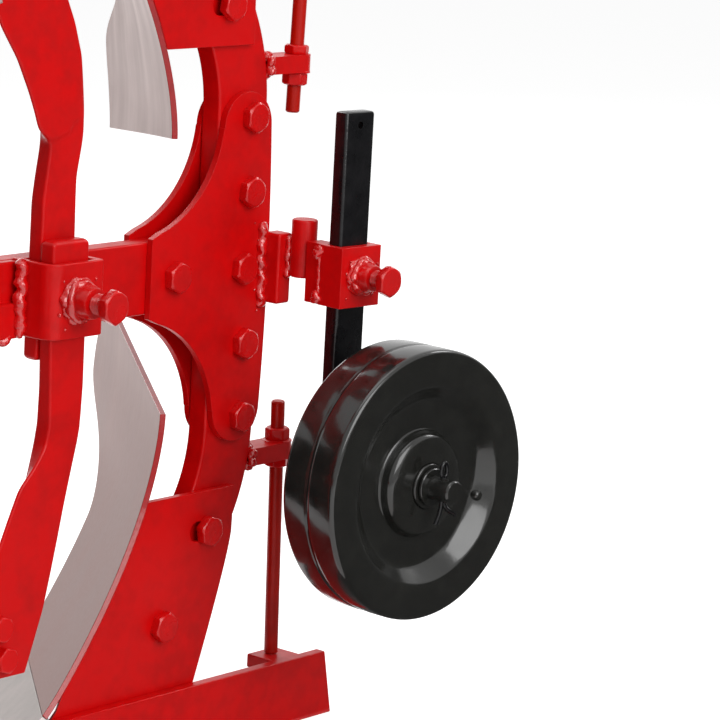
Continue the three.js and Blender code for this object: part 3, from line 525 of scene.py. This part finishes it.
def spatter(centres, seed):
    """Weld spatter: balls 2 to 4 mm across, stuck to the steel and painted over."""
    chance = np.random.default_rng(seed)
    arc = np.linspace(0.12, np.pi - 0.12, 7)
    balls = []
    for centre in centres:
        r = chance.uniform(0.9, 1.9)
        balls.append(turned(np.stack([r * np.sin(arc), -r * np.cos(arc)], 1), centre, LEFT, 12))
    return balls


RED_WELD = enamel("enamel_over_weld", "#D0080A", "#A80506", 0.12, 0.9, coat=0.6, gloss=0.5, lump=0.28)
for side, flip in [("lower", False), ("upper", True)]:
    top, foot = ROD["top"], ROD["foot"]
    way = np.array([rod_x(top) - rod_x(foot), 0, top - foot])
    length = float(np.linalg.norm(way))
    line = [(5.2, 0), (6, 0.8), (6, length - 1.2), (4.9, length)]
    rod = [turned(line, (rod_x(foot), AXIS_Y, foot), way, 32)]
    rod = piece("stay_rod_turned_" + side, rod, ROD_RED, "beam", mirror=flip)
    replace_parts(rod, "stay_rod_" + side)
    above, below = [(rod_x(z), AXIS_Y, z) for z in (ARM["top"], ARM["under"])]
    nuts = [
        hexagon(above, way, 19, 11.5, 0.2),
        hexagon(below, -way, 19, 7.5, 0.6),
        turned([(12.5, 0), (12.8, 0.4), (12.8, 1.6), (12, 2)], (above[0], AXIS_Y, above[2] - 1), way, 40),
    ]
    piece("stay_nuts_" + side, nuts, RED, "beam", mirror=flip)
    softened("stay_arm_" + side, 2.4, RED)
    softened("moldboard_brace_" + side, 0.6, RED)
    beads = [
        weld([(-25.6, ARM["left"], level), (-25.6, ARM["right"], level)], 10, seed, up=FORWARD)
        for level, seed in [(ARM["top"], 11), (ARM["under"], 12)]
    ]
    beads.append(weld([(-26, -5.4, ARM["top"] + 1), (-26, -5.4, ARM["under"] - 1)], 8, 13, up=FORWARD))
    piece("stay_arm_welds_" + side, beads, RED_WELD, "beam", mirror=flip)

# ---- Wheel bracket and clamp ------------------------------------------------------------------
# A block welded to the gusset carries an upright pin; the clamp's own block is welded to the
# pin, and a screw in a welded boss presses on the wheel's shank inside the clamp.
SHANK = {"x": -49.6, "y": 69.4, "toe": math.radians(4.2), "near": 16.0}


def wheel_side(points):
    """From the shank's own place to the bolt column's: turned 4.2 degrees about z, then moved."""
    c, s = math.cos(SHANK["toe"]), math.sin(SHANK["toe"])
    p = np.array(points, float)
    x, y, z = p[..., 0], p[..., 1], p[..., 2]
    return np.stack([SHANK["x"] + c * x + s * y, SHANK["y"] - s * x + c * y, z], -1)


def clamp_screw(centre, way, reach, boss, boss_diameter, flats, head, diameter, turn):
    """A tapered boss with a chamfer, a screw's thread above it and its hexagon head."""
    w = np.array(way, float)
    c = np.array(centre, float)
    r = boss_diameter / 2
    taper = [(r, 0.3), (r - 0.6, boss * 0.5), (r - 1.6, boss - 1.6), (r - 2.2, boss - 0.5), (r - 3.6, boss)]
    under_head = c + w * (reach - head)
    return [
        turned(taper, c, w, 56),
        thread(c + w * (boss - 1), w, reach - head - boss + 2, diameter, 2.5),
        turned([(flats * 0.47, -1.0), (flats * 0.49, 0)], under_head, w, 40),
        hexagon(under_head, w, flats, head, turn, soft=1.0),
    ]


softened("wheel_bracket_block", 2.6, RED)
line = [(9.6, 0), (10.7, 0.8), (11, 1.8), (11, 47.2), (10.7, 48.2), (9.8, 49)]
bracket_pin = [turned(line, (-39, 29.8, -7), UPRIGHT, 48)]
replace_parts(piece("bracket_pin_turned", bracket_pin, RED, "beam"), "wheel_bracket_pin")
softened("wheel_clamp", 1.8, RED)
screw_way = wheel_side([(0, 1, 0)])[0] - wheel_side([(0, 0, 0)])[0]
screw_foot = wheel_side([(0, SHANK["near"], 1)])[0]
wheel_screw = clamp_screw(screw_foot, screw_way, 36.4, 17, 25, 23.6, 7.6, 15, 0.05)
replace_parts(piece("wheel_screw", wheel_screw, RED_BOLT, "beam"), "wheel_clamp_screw")
# The beads of the block on the gusset, of the pin on both blocks and of its block on the clamp.
beads = [
    weld([(-20.5, 1.0, -36), (-18.6, 1.0, 0), (-18.2, 1.0, 38)], 10, 21, up=LEFT, pitch=6.5),
    weld([(-38.2, 1.2, -30), (-38.2, 1.2, 28)], 7, 22, up=LEFT),
    weld([(-30.5, 20, -9), (-31.0, 20, 27)], 6.5, 23, up=LEFT),
    weld([(-46.5, 20, -5), (-46.5, 20, 27)], 6, 24, up=LEFT),
    weld(wheel_side([(4.6, -27.4, -22), (4.6, -27.4, 22)]), 6, 25, up=LEFT),
    weld(wheel_side([(22.6, -11.4, 12), (22.6, -11.4, 24.5)]), 10, 26, up=LEFT),
    weld(wheel_side([(22.8, -11.4, -25), (22.8, -11.4, -14)]), 10, 86, up=LEFT),
    weld(wheel_side([(22.4, -10.8, -20), (22.4, -10.8, 20)]), 4.5, 87, up=LEFT),
    weld([(-39, 17, 14), (-37, 21, 8)], 8, 88, up=LEFT),
    weld(wheel_side([(4.2, -11.7, -24), (4.2, -11.7, 24)]), 5.5, 27, up=LEFT),
]
beads += weld_ring(screw_foot, screw_way, 13.4, 6.0, 28)
on_clamp = wheel_side([(13, 16.6, 14), (17, 16.4, 4), (-14, 16.5, -15), (16, 16.4, -17), (-19, 16.4, 10)])
on_plate = [(-14, 0.5, 22), (-11, 0.5, 3), (-12, 0.5, -20), (-9, 0.5, 37), (-16, 0.5, -38)]
beads += spatter(np.vstack([on_clamp, on_plate]), 29)
piece("wheel_bracket_welds", beads, RED_WELD, "beam")

# ---- Wheel shank and depth wheel ---------------------------------------------------------------
# The shank is rolled flat bar with rounded edges and a hole for a stop pin near its top. The
# wheel is two pressed discs joined at a raised seam round the tread, on a tube hub, and it
# turns on a 20 mm axle behind a washer and a split pin.


def rounded(points, radii):
    """A broken line with each inner corner replaced by a parabola that starts and ends a
    radius away from it, or less where the line is short."""
    p = np.array(points, float)
    line = [p[:1]]
    t = np.linspace(0, 1, 6)[:, None]
    for before, here, after, r in zip(p[:-2], p[1:-1], p[2:], radii):
        back, on = before - here, after - here
        back *= min(r / np.linalg.norm(back), 0.48)
        on *= min(r / np.linalg.norm(on), 0.48)
        line.append(here + back * (1 - t) ** 2 + on * t**2)
    line.append(p[-1:])
    return np.vstack(line)


def bar_section(half_x, half_y, corner):
    """A rectangle with quarter-circle corners, anticlockwise."""
    quarter = np.linspace(0, np.pi / 2, 5)
    parts = []
    for k, (sx, sy) in enumerate([(1, 1), (-1, 1), (-1, -1), (1, -1)]):
        turn = quarter + k * np.pi / 2
        cx, cy = sx * (half_x - corner), sy * (half_y - corner)
        parts.append(np.stack([cx + corner * np.cos(turn), cy + corner * np.sin(turn)], 1))
    return np.vstack(parts)


def upright(section, levels, insets):
    """A section carried up through the levels, drawn in at each by its inset."""
    reach = np.abs(section).max(0)
    rings = []
    for z, inset in zip(levels, insets):
        ring = section * (1 - inset / reach)
        rings.append(np.column_stack([ring, np.full(len(ring), z)]))
    return loft(np.array(rings))


SHANK_BLACK = enamel(
    "rolled_bar_black_enamel", "#0D0D0F", "#1B1A1C", 0.24, 0.8, edge="#3A3836", edge_share=0.5, coat=0.3
)
levels = [-176, -175, -173, 134.6, 136.3, 137]
points, faces = upright(bar_section(16.75, 7.15, 2.6), levels, [1.6, 0.5, 0, 0, 0.5, 1.7])
bar = [(wheel_side(points), faces)]
shank = piece("shank_rolled", bar, SHANK_BLACK, "wheel_arm")
# A 6.2 mm hole for the stop pin, 11 mm below the top.
points, faces = turned([(3.1, -30), (3.1, 30)], wheel_side([(0, 0, 126)])[0], screw_way, 32)
drill = bpy.data.meshes.new("drill")
drill.from_pydata((points * 0.001 + COLUMN).tolist(), [], faces)
drill_object = placed("drill", drill)
bore = shank.modifiers.new("stop_hole", "BOOLEAN")
bore.operation = "DIFFERENCE"
bore.object = drill_object
bore.solver = "EXACT"
cut_mesh = bpy.data.meshes.new_from_object(shank.evaluated_get(bpy.context.evaluated_depsgraph_get()))
shank.modifiers.clear()
shank.data = cut_mesh
bpy.data.objects.remove(drill_object)
shank.data.set_sharp_from_angle(angle=math.radians(38))
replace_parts(shank, "wheel_shank")

AXLE = wheel_side([(-4.2, 0, -162)])[0]
OUTWARD = screw_way
WHEEL_MIDDLE = 74.0  # from the shank's middle to the seam, along the axle
SPLIT_PIN = {"at": 119, "wire": 1.9, "eye": 16.5, "half_wide": 3.4, "half_high": 6.2}
WHEEL_BLACK = enamel(
    "pressed_wheel_black_enamel", "#1B1B19", "#232320", 0.12, 0.12,
    edge="#2E2C2A", edge_share=0.2, coat=0.35, gloss=0.4,
)
outer_line = rounded(
    [(113.3, 0.3), (113.4, 1.4), (113.8, 2.6), (114, 8), (113.7, 29), (84.5, 29), (69, 15),
     (45, 15), (42.6, 25.6), (32, 28), (19.6, 28.6)],
    [0.5, 0.8, 3, 5, 3.5, 5, 3, 5, 6],
)
inner_line = rounded(
    [(19.6, 25.4), (32, 24.8), (39.6, 22.6), (42.6, 12), (70, 12), (86, 26), (109.4, 26), (109.4, 0.3)],
    [6, 4, 3, 5, 4, 5],
)
half_line = np.vstack([outer_line, inner_line])
for side, flip in [("left", 1), ("right", -1)]:
    disc = [turned(half_line * (1, flip), AXLE + OUTWARD * WHEEL_MIDDLE, OUTWARD, 160, loop=True)]
    disc = piece("pressed_disc_" + side, disc, WHEEL_BLACK, "wheel", crease=50)
    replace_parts(disc, "wheel_half_" + side)
line = [(10.6, 43), (10.6, 41.4), (19, 41), (19, 105), (10.6, 105), (10.6, 43)]
hub = [turned(rounded(line, [0.4, 1.5, 1.8, 1.2])[:-1], AXLE, OUTWARD, 64, loop=True)]
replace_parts(piece("hub_tube", hub, WHEEL_BLACK, "wheel"), "wheel_hub")

axle = [
    turned([(14, 7.5), (15, 8.5), (15, 39), (14, 40)], AXLE, OUTWARD, 48),
    turned([(10, 30), (10, 130.4), (9.6, 131.4), (8.6, 132.4)], AXLE, OUTWARD, 48),
    turned([(15.2, 106), (15.8, 106.5), (15.8, 108.4), (15.2, 109)], AXLE, OUTWARD, 48),
]
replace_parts(piece("axle_turned", axle, WHEEL_BLACK, "wheel_arm"), "wheel_axle")
# The split pin: an eye above the axle, and two legs that go through it and are bent apart.
_, side_way, up_way = across(OUTWARD)
pin_at = AXLE + OUTWARD * SPLIT_PIN["at"]
turn = np.linspace(-0.5 * np.pi + 0.3, 1.5 * np.pi - 0.3, 26)[:, None]
eye = pin_at + up_way * SPLIT_PIN["eye"] + np.cos(turn) * SPLIT_PIN["half_wide"] * side_way
eye += np.sin(turn) * SPLIT_PIN["half_high"] * up_way
wires = [tube(eye, SPLIT_PIN["wire"], OUTWARD, 12)]
for sign, bend in [
    (-1, [(1.2, 0, 12), (1.2, 0, -14), (2.5, -1, -22), (5, -2, -29)]),
    (1, [(1.2, 0, 12), (1.2, 0, -12), (2.5, 4, -17), (4, 12, -19.5)]),
]:
    line = rounded([pin_at + side_way * sign * a + OUTWARD * out + up_way * b for a, out, b in bend], [4, 5])
    wires.append(tube(path_of(line, 1.2)[0], SPLIT_PIN["wire"], OUTWARD, 12))
piece("split_pin", wires, SHANK_BLACK, "wheel_arm")
# A rivet's head on the dish, 73 mm from the axle.
rivet_at = AXLE + OUTWARD * (WHEEL_MIDDLE + 20) + side_way * 71 - up_way * 19
button = turned([(4.6, -4), (4.6, 0), (3.9, 1.6), (2.2, 2.6)], rivet_at, OUTWARD, 24)
piece("dish_rivet", [button], WHEEL_BLACK, "wheel")

# ---- Skimmers ----------------------------------------------------------------------------------
# Two forged flat bars, one facing down and one up, stand side by side in one bent clamp on the
# beam, held by a screw in a welded boss. Their leading edges are drawn out to a blunt knife.
SKIM = {"near": 33.0, "middle": 18.5, "inner": 3.0, "thick": 14.5, "clamp_near": 40.0}
BAR_END = {"top": 48.0, "round": 4.0, "foot": -293, "corner": 2.2}
LOWER_BAR = {
    "z": [48, 30, -31, -68, -97, -113, -129, -144, -166, -189, -215, -245, -293],
    "rear": [221, 221, 221.5, 221.5, 223, 226, 230, 233.5, 238.5, 243.5, 249.5, 257, 274.5],
    "front": [260.5, 260.5, 260.5, 259, 258, 262, 273, 288, 298, 308, 319, 328, 337],
    "far": [260.5, 260.5, 259, 258, 259, 262, 266, 270, 280, 290, 302, 314, 328],
    "step": [(215, 98), (250, 104), (270, 122)],
    "proud": 0.5,
}
UPPER_BAR = {
    "z": [48, 30, -42, -77, -95, -118, -124, -130, -134, -148, -165, -190, -215, -250, -293],
    "rear": [221, 221, 221, 221.5, 221.5, 217, 216, 215.5, 215.5, 216, 218, 221, 229, 246, 274.5],
    "front": [260.5, 260.5, 258.5, 258, 255.5, 252, 252, 262, 266, 271, 278, 290, 308, 325, 337],
    "far": [260.5, 260.5, 258.5, 258, 255.5, 251.5, 251, 251, 251, 256, 262, 277, 297, 315, 328],
    "step": [(216, 141), (227, 138), (233, 130), (245, 126), (252, 125), (265, 131)],
    "proud": 1.9,
}


def forged_bar(outline, right, left):
    """A section of four rounded corners, whose rear, near front and far front edges follow the
    outline's curves, carried down from its rounded end. The near face carries the outline's
    forging step: past a wavy line across the bar it stands proud, then fades back."""
    shoulder = BAR_END["top"] - BAR_END["round"]
    z = np.concatenate([[48.0, 47.7, 47.2, 46.4, 45.2], np.linspace(shoulder, BAR_END["foot"], 170)])
    known = np.array(outline["z"], float)[::-1]
    edges = [np.interp(z, known, np.array(outline[k], float)[::-1]) for k in ("rear", "front", "far")]
    rear, front, far = edges
    smooth = np.array([1, 2, 3, 4, 3, 2, 1]) / 16
    for edge in edges:
        edge[5:-3] = np.convolve(edge, smooth, "same")[5:-3]
    corner, round_end = BAR_END["corner"], BAR_END["round"]
    past_shoulder = np.clip(z - shoulder, 0, round_end)
    inset = round_end - np.sqrt(np.clip(round_end**2 - past_shoulder**2, 0.6, round_end**2))
    quarter = np.linspace(0, np.pi / 2, 5)
    rings = []
    corners = [(far, right, 1, -1), (front, left, 1, 1), (rear, left, -1, 1), (rear, right, -1, -1)]
    starts = [-np.pi / 2, 0, np.pi / 2, np.pi]
    for (x, y, sx, sy), start in zip(corners, starts):
        angle = quarter + start
        cx = x - sx * (corner + inset)
        cy = y - sy * (corner + inset)
        px = cx[:, None] + corner * np.cos(angle)
        py = cy[:, None] + corner * np.sin(angle)
        rings.append(np.stack([px, py, np.broadcast_to(z[:, None], px.shape)], -1))
    share = np.linspace(0, 1, 16)[1:-1]
    flat = rings[1][:, -1:, :] * (1 - share)[None, :, None] + rings[2][:, :1, :] * share[None, :, None]
    rings.insert(2, flat)
    bar = np.concatenate(rings, 1)
    step_x, step_drop = np.array(outline["step"], float).T
    past = -bar[..., 2] - np.interp(bar[..., 0], step_x, step_drop)
    proud = outline["proud"] * smoothstep(past, -2.2, 1.8) * (1 - smoothstep(past, 12, 70))
    proud *= smoothstep(bar[..., 0], 214, 228)
    bar[..., 1] += proud * (bar[..., 1] > (right + left) / 2)
    return loft(bar[::-1])


softened("skimmer_bracket", 1.6, RED)
softened("skimmer_clamp", 1.5, RED)
skim_foot = np.array([239.0, SKIM["clamp_near"], 2.0])
skim_screw = clamp_screw(skim_foot, LEFT, 43.0, 20, 28, 25, 9.0, 17, 0.02)
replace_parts(piece("skimmer_screw", skim_screw, RED_BOLT, "beam"), "skimmer_clamp_screw")
beads = [
    weld([(270.5, 8.5, -30), (271.5, 9, 2), (270.5, 8.5, 33)], 11, 31, up=LEFT, pitch=6.5),
    weld([(276, 6, -28), (286, 3, -31), (296, 1, -30)], 9, 35, up=LEFT),
    weld([(208.5, -4.5, -27), (208.5, -4.5, 30)], 6, 32, up=LEFT),
]
beads += weld_ring(skim_foot, LEFT, 15.0, 7.0, 33)
beads += spatter([(255, 40, 18), (258, 39.5, -8), (224, 40, -14), (252, 40, -20), (220, 40, 17)], 34)
piece("skimmer_clamp_welds", beads, RED_WELD, "beam")
for side, outline, right, left in [
    ("lower", LOWER_BAR, SKIM["middle"], SKIM["near"]),
    ("upper", UPPER_BAR, SKIM["inner"], SKIM["inner"] + SKIM["thick"]),
]:
    flip = side == "upper"
    bar = [forged_bar(outline, right, left)]
    bar = piece("skimmer_bar_forged_" + side, bar, RED, "skimmer_" + side, mirror=flip)
    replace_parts(bar, "skimmer_bar_" + side)
    softened("skimmer_board_" + side, 0.7, STEEL)
    bolts = [hexagon((x, left, z), LEFT, 19, 7.5, 0.2) for x, z in [(306, -252), (300, -278)]]
    piece("skimmer_bolts_" + side, bolts, RED, "skimmer_" + side, mirror=flip)

# ---- Turnover spindle ------------------------------------------------------------------------
# The beam ends in a welded square flange, bolted to the disc that the plunger indexes. The
# spindle behind it turns in the headstock and is held by a large nut.
PLATED = ground_steel("zinc_plated_steel", "#C9C3AE", "#BDB7A4", "#9F9A8C", 0.26, band=90.0)
softened("beam_flange", 1.4, RED)
softened("index_disc", 1.0, RED)
FLANGE = {"rear": 565.3, "bolt": 41}


def in_column(box):
    """The two corners of a CAD node's box, in mm from the bolt column."""
    return [(np.array(corner) - COLUMN) * 1000 for corner in box]


low, high = in_column(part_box("spindle"))
line = [(22, low[0]), (22, low[0] + 150), (21, low[0] + 152), (21, high[0] - 2.5), (19, high[0])]
spindle = [turned(line, (0, AXIS_Y, 0), FORWARD, 64)]
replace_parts(piece("spindle_turned", spindle, PLATED, "beam"), "spindle")
nut_at = (in_column(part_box("spindle_nut"))[0][0], AXIS_Y, 0)
nut = [hexagon(nut_at, FORWARD, 65, 22)]
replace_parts(piece("spindle_nut_faced", nut, PLATED, "beam"), "spindle_nut")
bolts = []
for sy in (-1, 1):
    for sz in (-1, 1):
        at = (FLANGE["rear"], AXIS_Y + FLANGE["bolt"] * sy, FLANGE["bolt"] * sz)
        bolts.append(hexagon(at, BACKWARD, 19, 8, 0.3))
for y, seed in [(-5.4, 41), (-27.2, 42)]:
    bolts.append(weld([(564, y, -29), (564, y, 29)], 8, seed, up=LEFT))
piece("flange_bolts", bolts, RED_WELD, "beam")

# ---- Headstock -------------------------------------------------------------------------------
# Two mast plates, a square cross bar and two braces are welded round the spindle's housing.
# The hitch pins are plated and held by linch pins; a spring plunger locks the turnover.
softened("spindle_housing", 1.2, RED)
for side in ("left", "right"):
    softened("mast_plate_" + side, 1.4, RED)
    softened("link_ear_" + side, 1.6, RED)
    softened("hitch_brace_" + side, 1.2, RED)
softened("cross_bar", 3.0, RED)
softened("index_latch", 0.8, PLATED)
low, high = in_column(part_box("index_latch"))
SPRING = {"start": low[0] + 28, "length": 32, "turns": 7, "radius": 9.4, "wire": 1.3, "z": high[2] - 14}
turns = np.linspace(0, SPRING["turns"] * 2 * np.pi, 240)
coil = np.stack(
    [
        SPRING["start"] + turns / turns[-1] * SPRING["length"],
        AXIS_Y + SPRING["radius"] * np.cos(turns),
        SPRING["z"] + SPRING["radius"] * np.sin(turns),
    ],
    1,
)
piece("plunger_spring", [tube(coil, SPRING["wire"], FORWARD, 10)], PLATED, "headstock")

# A linch pin's place: out from a lower pin's shoulder, and in from an end of the top pin.
LINCH = {"lower": 51, "top": 7, "wire": 1.5}
pins = []
for side, sign in (("left", 1), ("right", -1)):
    low, high = in_column(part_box("lower_link_pin_" + side))
    x, z = (low[0] + high[0]) / 2, (low[2] + high[2]) / 2
    shoulder = low[1] if sign > 0 else high[1]
    line = [(17, 0), (17, 3), (11, 4.5), (11, 57.3), (10.4, 58.8), (8.6, 59.7)]
    link_pin = [turned(line, (x, shoulder, z), (0, sign, 0), 40)]
    link_pin = piece("lower_pin_turned_" + side, link_pin, PLATED, "headstock")
    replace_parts(link_pin, "lower_link_pin_" + side)
    pins.append(((x, shoulder + sign * LINCH["lower"], z), 11))
low, high = in_column(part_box("top_link_pin"))
x, z = (low[0] + high[0]) / 2, (low[2] + high[2]) / 2
reach = (high[1] - low[1]) / 2
line = [(8.2, -reach), (9.5, -reach + 1.5), (9.5, reach - 1.5), (8.2, reach)]
top_pin = [turned(line, (x, AXIS_Y, z), LEFT, 40)]
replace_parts(piece("top_pin_turned", top_pin, PLATED, "headstock"), "top_link_pin")
pins += [((x, AXIS_Y + way * (reach - LINCH["top"]), z), 9.5) for way in (1, -1)]
linches = []
turn = np.linspace(0.12, 2 * np.pi - 0.12, 40)
drop = np.stack([np.sin(turn), 0 * turn, np.cos(turn) - 1], 1)
for centre, radius in pins:
    line = [(3.0, -radius - 4), (3.4, -radius - 3), (3.4, radius + 5), (2.4, radius + 6)]
    linches.append(turned(line, centre, UPRIGHT, 20))
    # The pin's ring hangs from its head round the hitch pin.
    ring = np.array(centre) + (0, 0, radius + 4) + (radius + 4) * drop
    linches.append(tube(ring, LINCH["wire"], LEFT, 10))
piece("linch_pins", linches, PLATED, "headstock")

low, high = in_column(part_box("spindle_housing"))
rear, front = low[0], high[0]
low, high = in_column(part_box("cross_bar"))
bar_rear, bar_front, bar_top = low[0], high[0], high[2]
# The welded faces, out from the beam's middle: mast plates, ears, housing and braces.
FACE = {"mast": 47.6, "ear": 328.6, "housing": 34.8, "brace": (282, 250)}
beads = []
for sign in (-1, 1):
    face = AXIS_Y + sign * FACE["mast"]
    beads.append(weld([(bar_rear + 2, face, bar_top + 1), (bar_front - 2, face, bar_top + 1)], 7, 50 + sign))
    ear = AXIS_Y + sign * FACE["ear"]
    for level in (bar_top, bar_top - 60):
        beads.append(weld([(bar_rear + 2, ear, level), (bar_front - 2, ear, level)], 7, 54 + sign))
    for edge in (bar_rear, bar_front):
        beads.append(weld([(edge, ear, bar_top - 58), (edge, ear, bar_top - 2)], 7, 57 + sign, up=LEFT))
    wall = AXIS_Y + sign * FACE["housing"]
    for level in (26.4, -26.4):
        beads.append(weld([(rear + 36, wall, level), (front - 32, wall, level)], 5, 60 + sign))
    beads.append(weld([(bar_rear + 24, AXIS_Y + sign * y, bar_top + 1) for y in FACE["brace"]], 6, 64))
piece("headstock_welds", beads, RED_WELD, "headstock")
line = [(4.2, -2), (4.2, 3), (2.6, 4), (2.2, 7), (3.1, 8.5), (3.1, 10), (1.6, 12)]
nipple = [turned(line, (rear + 80, AXIS_Y, 35), UPRIGHT, 24)]
piece("grease_nipple", nipple, PLATED, "headstock")

# ---- Parking stand ---------------------------------------------------------------------------
# A square bar with a plate foot slides in a sleeve welded to the cross bar, and a T-handled
# screw on the sleeve holds it.
softened("stand_sleeve", 1.6, RED)
softened("stand_bar", 2.2, SHANK_BLACK)
softened("stand_foot", 1.2, SHANK_BLACK)
low, high = in_column(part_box("stand_sleeve"))
at = np.array([high[0], (low[1] + high[1]) / 2, (low[2] + high[2]) / 2])
screw = [
    turned([(8, -1), (8, 4.5), (7, 5.5)], at, FORWARD, 32),
    thread(at + (4, 0, 0), FORWARD, 17, 10, 1.5),
    turned([(2.6, -26), (3.2, -25), (3.2, 25), (2.6, 26)], at + (17, 0, 0), LEFT, 20),
]
piece("stand_screw", screw, PLATED, "headstock")
beads = [
    weld([(bar_front + 1, y, bar_top - 58), (bar_front + 1, y, bar_top - 2)], 6, 71, up=LEFT)
    for y in (low[1], high[1])
]
piece("stand_welds", beads, RED_WELD, "headstock")
level = in_column(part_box("stand_foot"))[1][2] + 0.5
low, high = in_column(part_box("stand_bar"))
corners = [(low[0], low[1]), (high[0], low[1]), (high[0], high[1]), (low[0], high[1])]
beads = [weld([(*a, level), (*b, level)], 5, 73) for a, b in zip(corners, corners[1:] + corners[:1])]
piece("stand_foot_welds", beads, SHANK_BLACK, "stand")

# ---- Floor, light and camera -----------------------------------------------------------------
# A pale studio floor that keeps the shadow, a strong soft lamp from the left, weaker ones from
# the right, above and behind, and four dim cards that only gloss paint and metal mirror.


def seen(tree):
    """1 where the ray comes from the camera or from a mirror or glass, else 0."""
    light = add(tree, "LightPath")
    camera, glossy = light.outputs["Is Camera Ray"], light.outputs["Is Glossy Ray"]
    either = add(tree, "Math", {0: camera, 1: glossy}, operation="MAXIMUM")
    return add(tree, "Math", {0: either, 1: light.outputs["Is Transmission Ray"]}, operation="MAXIMUM")


def floor_paint():
    """Matt pale grey that glows to nearly white where the camera or a mirror sees it."""
    material, tree = emptied("studio_floor")
    matt = add(tree, "BsdfDiffuse", {"Color": colour("#E4E4E4")})
    level = add(tree, "Math", {0: seen(tree), 1: 0.74}, operation="MULTIPLY")
    glow = add(tree, "Emission", {"Color": (1, 1, 1, 1), "Strength": level})
    both = add(tree, "AddShader", {0: matt, 1: glow})
    add(tree, "OutputMaterial", {"Surface": both})
    return material


def grey_card(name, strength):
    """A card that shines evenly and weakly, so that it mirrors as grey."""
    material, tree = emptied(name)
    glow = add(tree, "Emission", {"Color": (1, 1, 1, 1), "Strength": strength})
    add(tree, "OutputMaterial", {"Surface": glow})
    return material


def panel(name, centre, way, width, height, material):
    """A flat stage panel that faces along way."""
    _, a, b = across(way)
    signs = [(-1, -1), (1, -1), (1, 1), (-1, 1)]
    corners = [np.array(centre, float) + a * sx * width / 2 + b * sy * height / 2 for sx, sy in signs]
    mesh = bpy.data.meshes.new(name)
    mesh.from_pydata([list(p) for p in corners], [], [(0, 1, 2, 3)])
    mesh.materials.append(material)
    made = placed(name, mesh)
    return made


panel("floor", (0, 0, 0), UPRIGHT, 60, 60, floor_paint())
light_grey, dark_grey = grey_card("light_grey_card", 0.1), grey_card("dark_grey_card", 0.03)
for name, centre, way, width, height, material in [
    ("card_rear", (-2.1, 1.65, 0.2), (0.77, -0.62, 0.1), 3.4, 2.4, light_grey),
    ("card_rear_ground", (-1.45, 1.2, 0.003), UPRIGHT, 2.5, 2.5, light_grey),
    ("card_front", (2.1, -1.65, 0.2), (-0.77, 0.62, 0.1), 3.4, 2.4, dark_grey),
    ("card_front_ground", (1.45, -1.2, 0.003), UPRIGHT, 2.5, 2.5, dark_grey),
]:
    card = panel(name, centre, way, width, height, material)
    card.visible_camera = False
    card.visible_diffuse = False
    card.visible_transmission = False
    card.visible_shadow = False

world = bpy.data.worlds.new("studio")
bpy.context.scene.world = world
world.use_nodes = True
world.node_tree.nodes.clear()
sky = world.node_tree
level = add(sky, "MapRange", {"Value": seen(sky), "To Min": 0.27, "To Max": 1.0})
back = add(sky, "Background", {"Color": (1, 1, 1, 1), "Strength": level})
add(sky, "OutputWorld", {"Surface": back})


def stand_at(thing, right, up, backward, place):
    """Puts a lamp or the camera at a place, facing against its backward axis."""
    matrix = np.eye(4)
    matrix[:3] = np.stack([right, up, backward, place], 1)
    thing.matrix_world = Matrix(matrix.tolist())


for name, place, aim, power, size in [
    ("key", (0.5, 3.2, 2.2), (-0.15, 0.1, 0.4), 89, 2.4),
    ("fill", (-1.6, -3.2, 2.2), (-0.1, -0.1, 0.4), 42, 2.2),
    ("top", (0.3, 0.2, 3.4), (0, 0, 0.4), 30, 2.2),
    ("rear", (-2.6, 0.8, 2.2), (-0.35, 0.16, 0.25), 12, 0.7),
]:
    lamp = bpy.data.lights.new(name, "AREA")
    lamp.energy = power
    lamp.size = size
    w, a, b = across(np.array(place) - np.array(aim))
    stand_at(placed(name, lamp), a, b, w, place)

# The camera stands left of and ahead of the plough, half a metre above the beam. It looks down
# by 11 degrees and is rolled by 3. Its place is in mm from the bolt column, angles in radians.
CAMERA = {"at": (2112.06, 1872.79, 467.24), "lens": 170.69}
az, pitch, roll = 0.8808, 0.1894, 0.0537
look = np.array([-math.sin(az) * math.cos(pitch), -math.cos(az) * math.cos(pitch), -math.sin(pitch)])
right = np.array([-math.cos(az), math.sin(az), 0])
up = np.cross(right, look)
rolled_right = math.cos(roll) * right + math.sin(roll) * up
rolled_up = -math.sin(roll) * right + math.cos(roll) * up
lens = bpy.data.cameras.new("camera")
lens.lens = CAMERA["lens"]
lens.sensor_width = 36
camera = placed("camera", lens)
stand_at(camera, rolled_right, rolled_up, -look, np.array(CAMERA["at"]) * 0.001 + COLUMN)
bpy.context.scene.camera = camera
bpy.context.scene.view_settings.view_transform = "Standard"
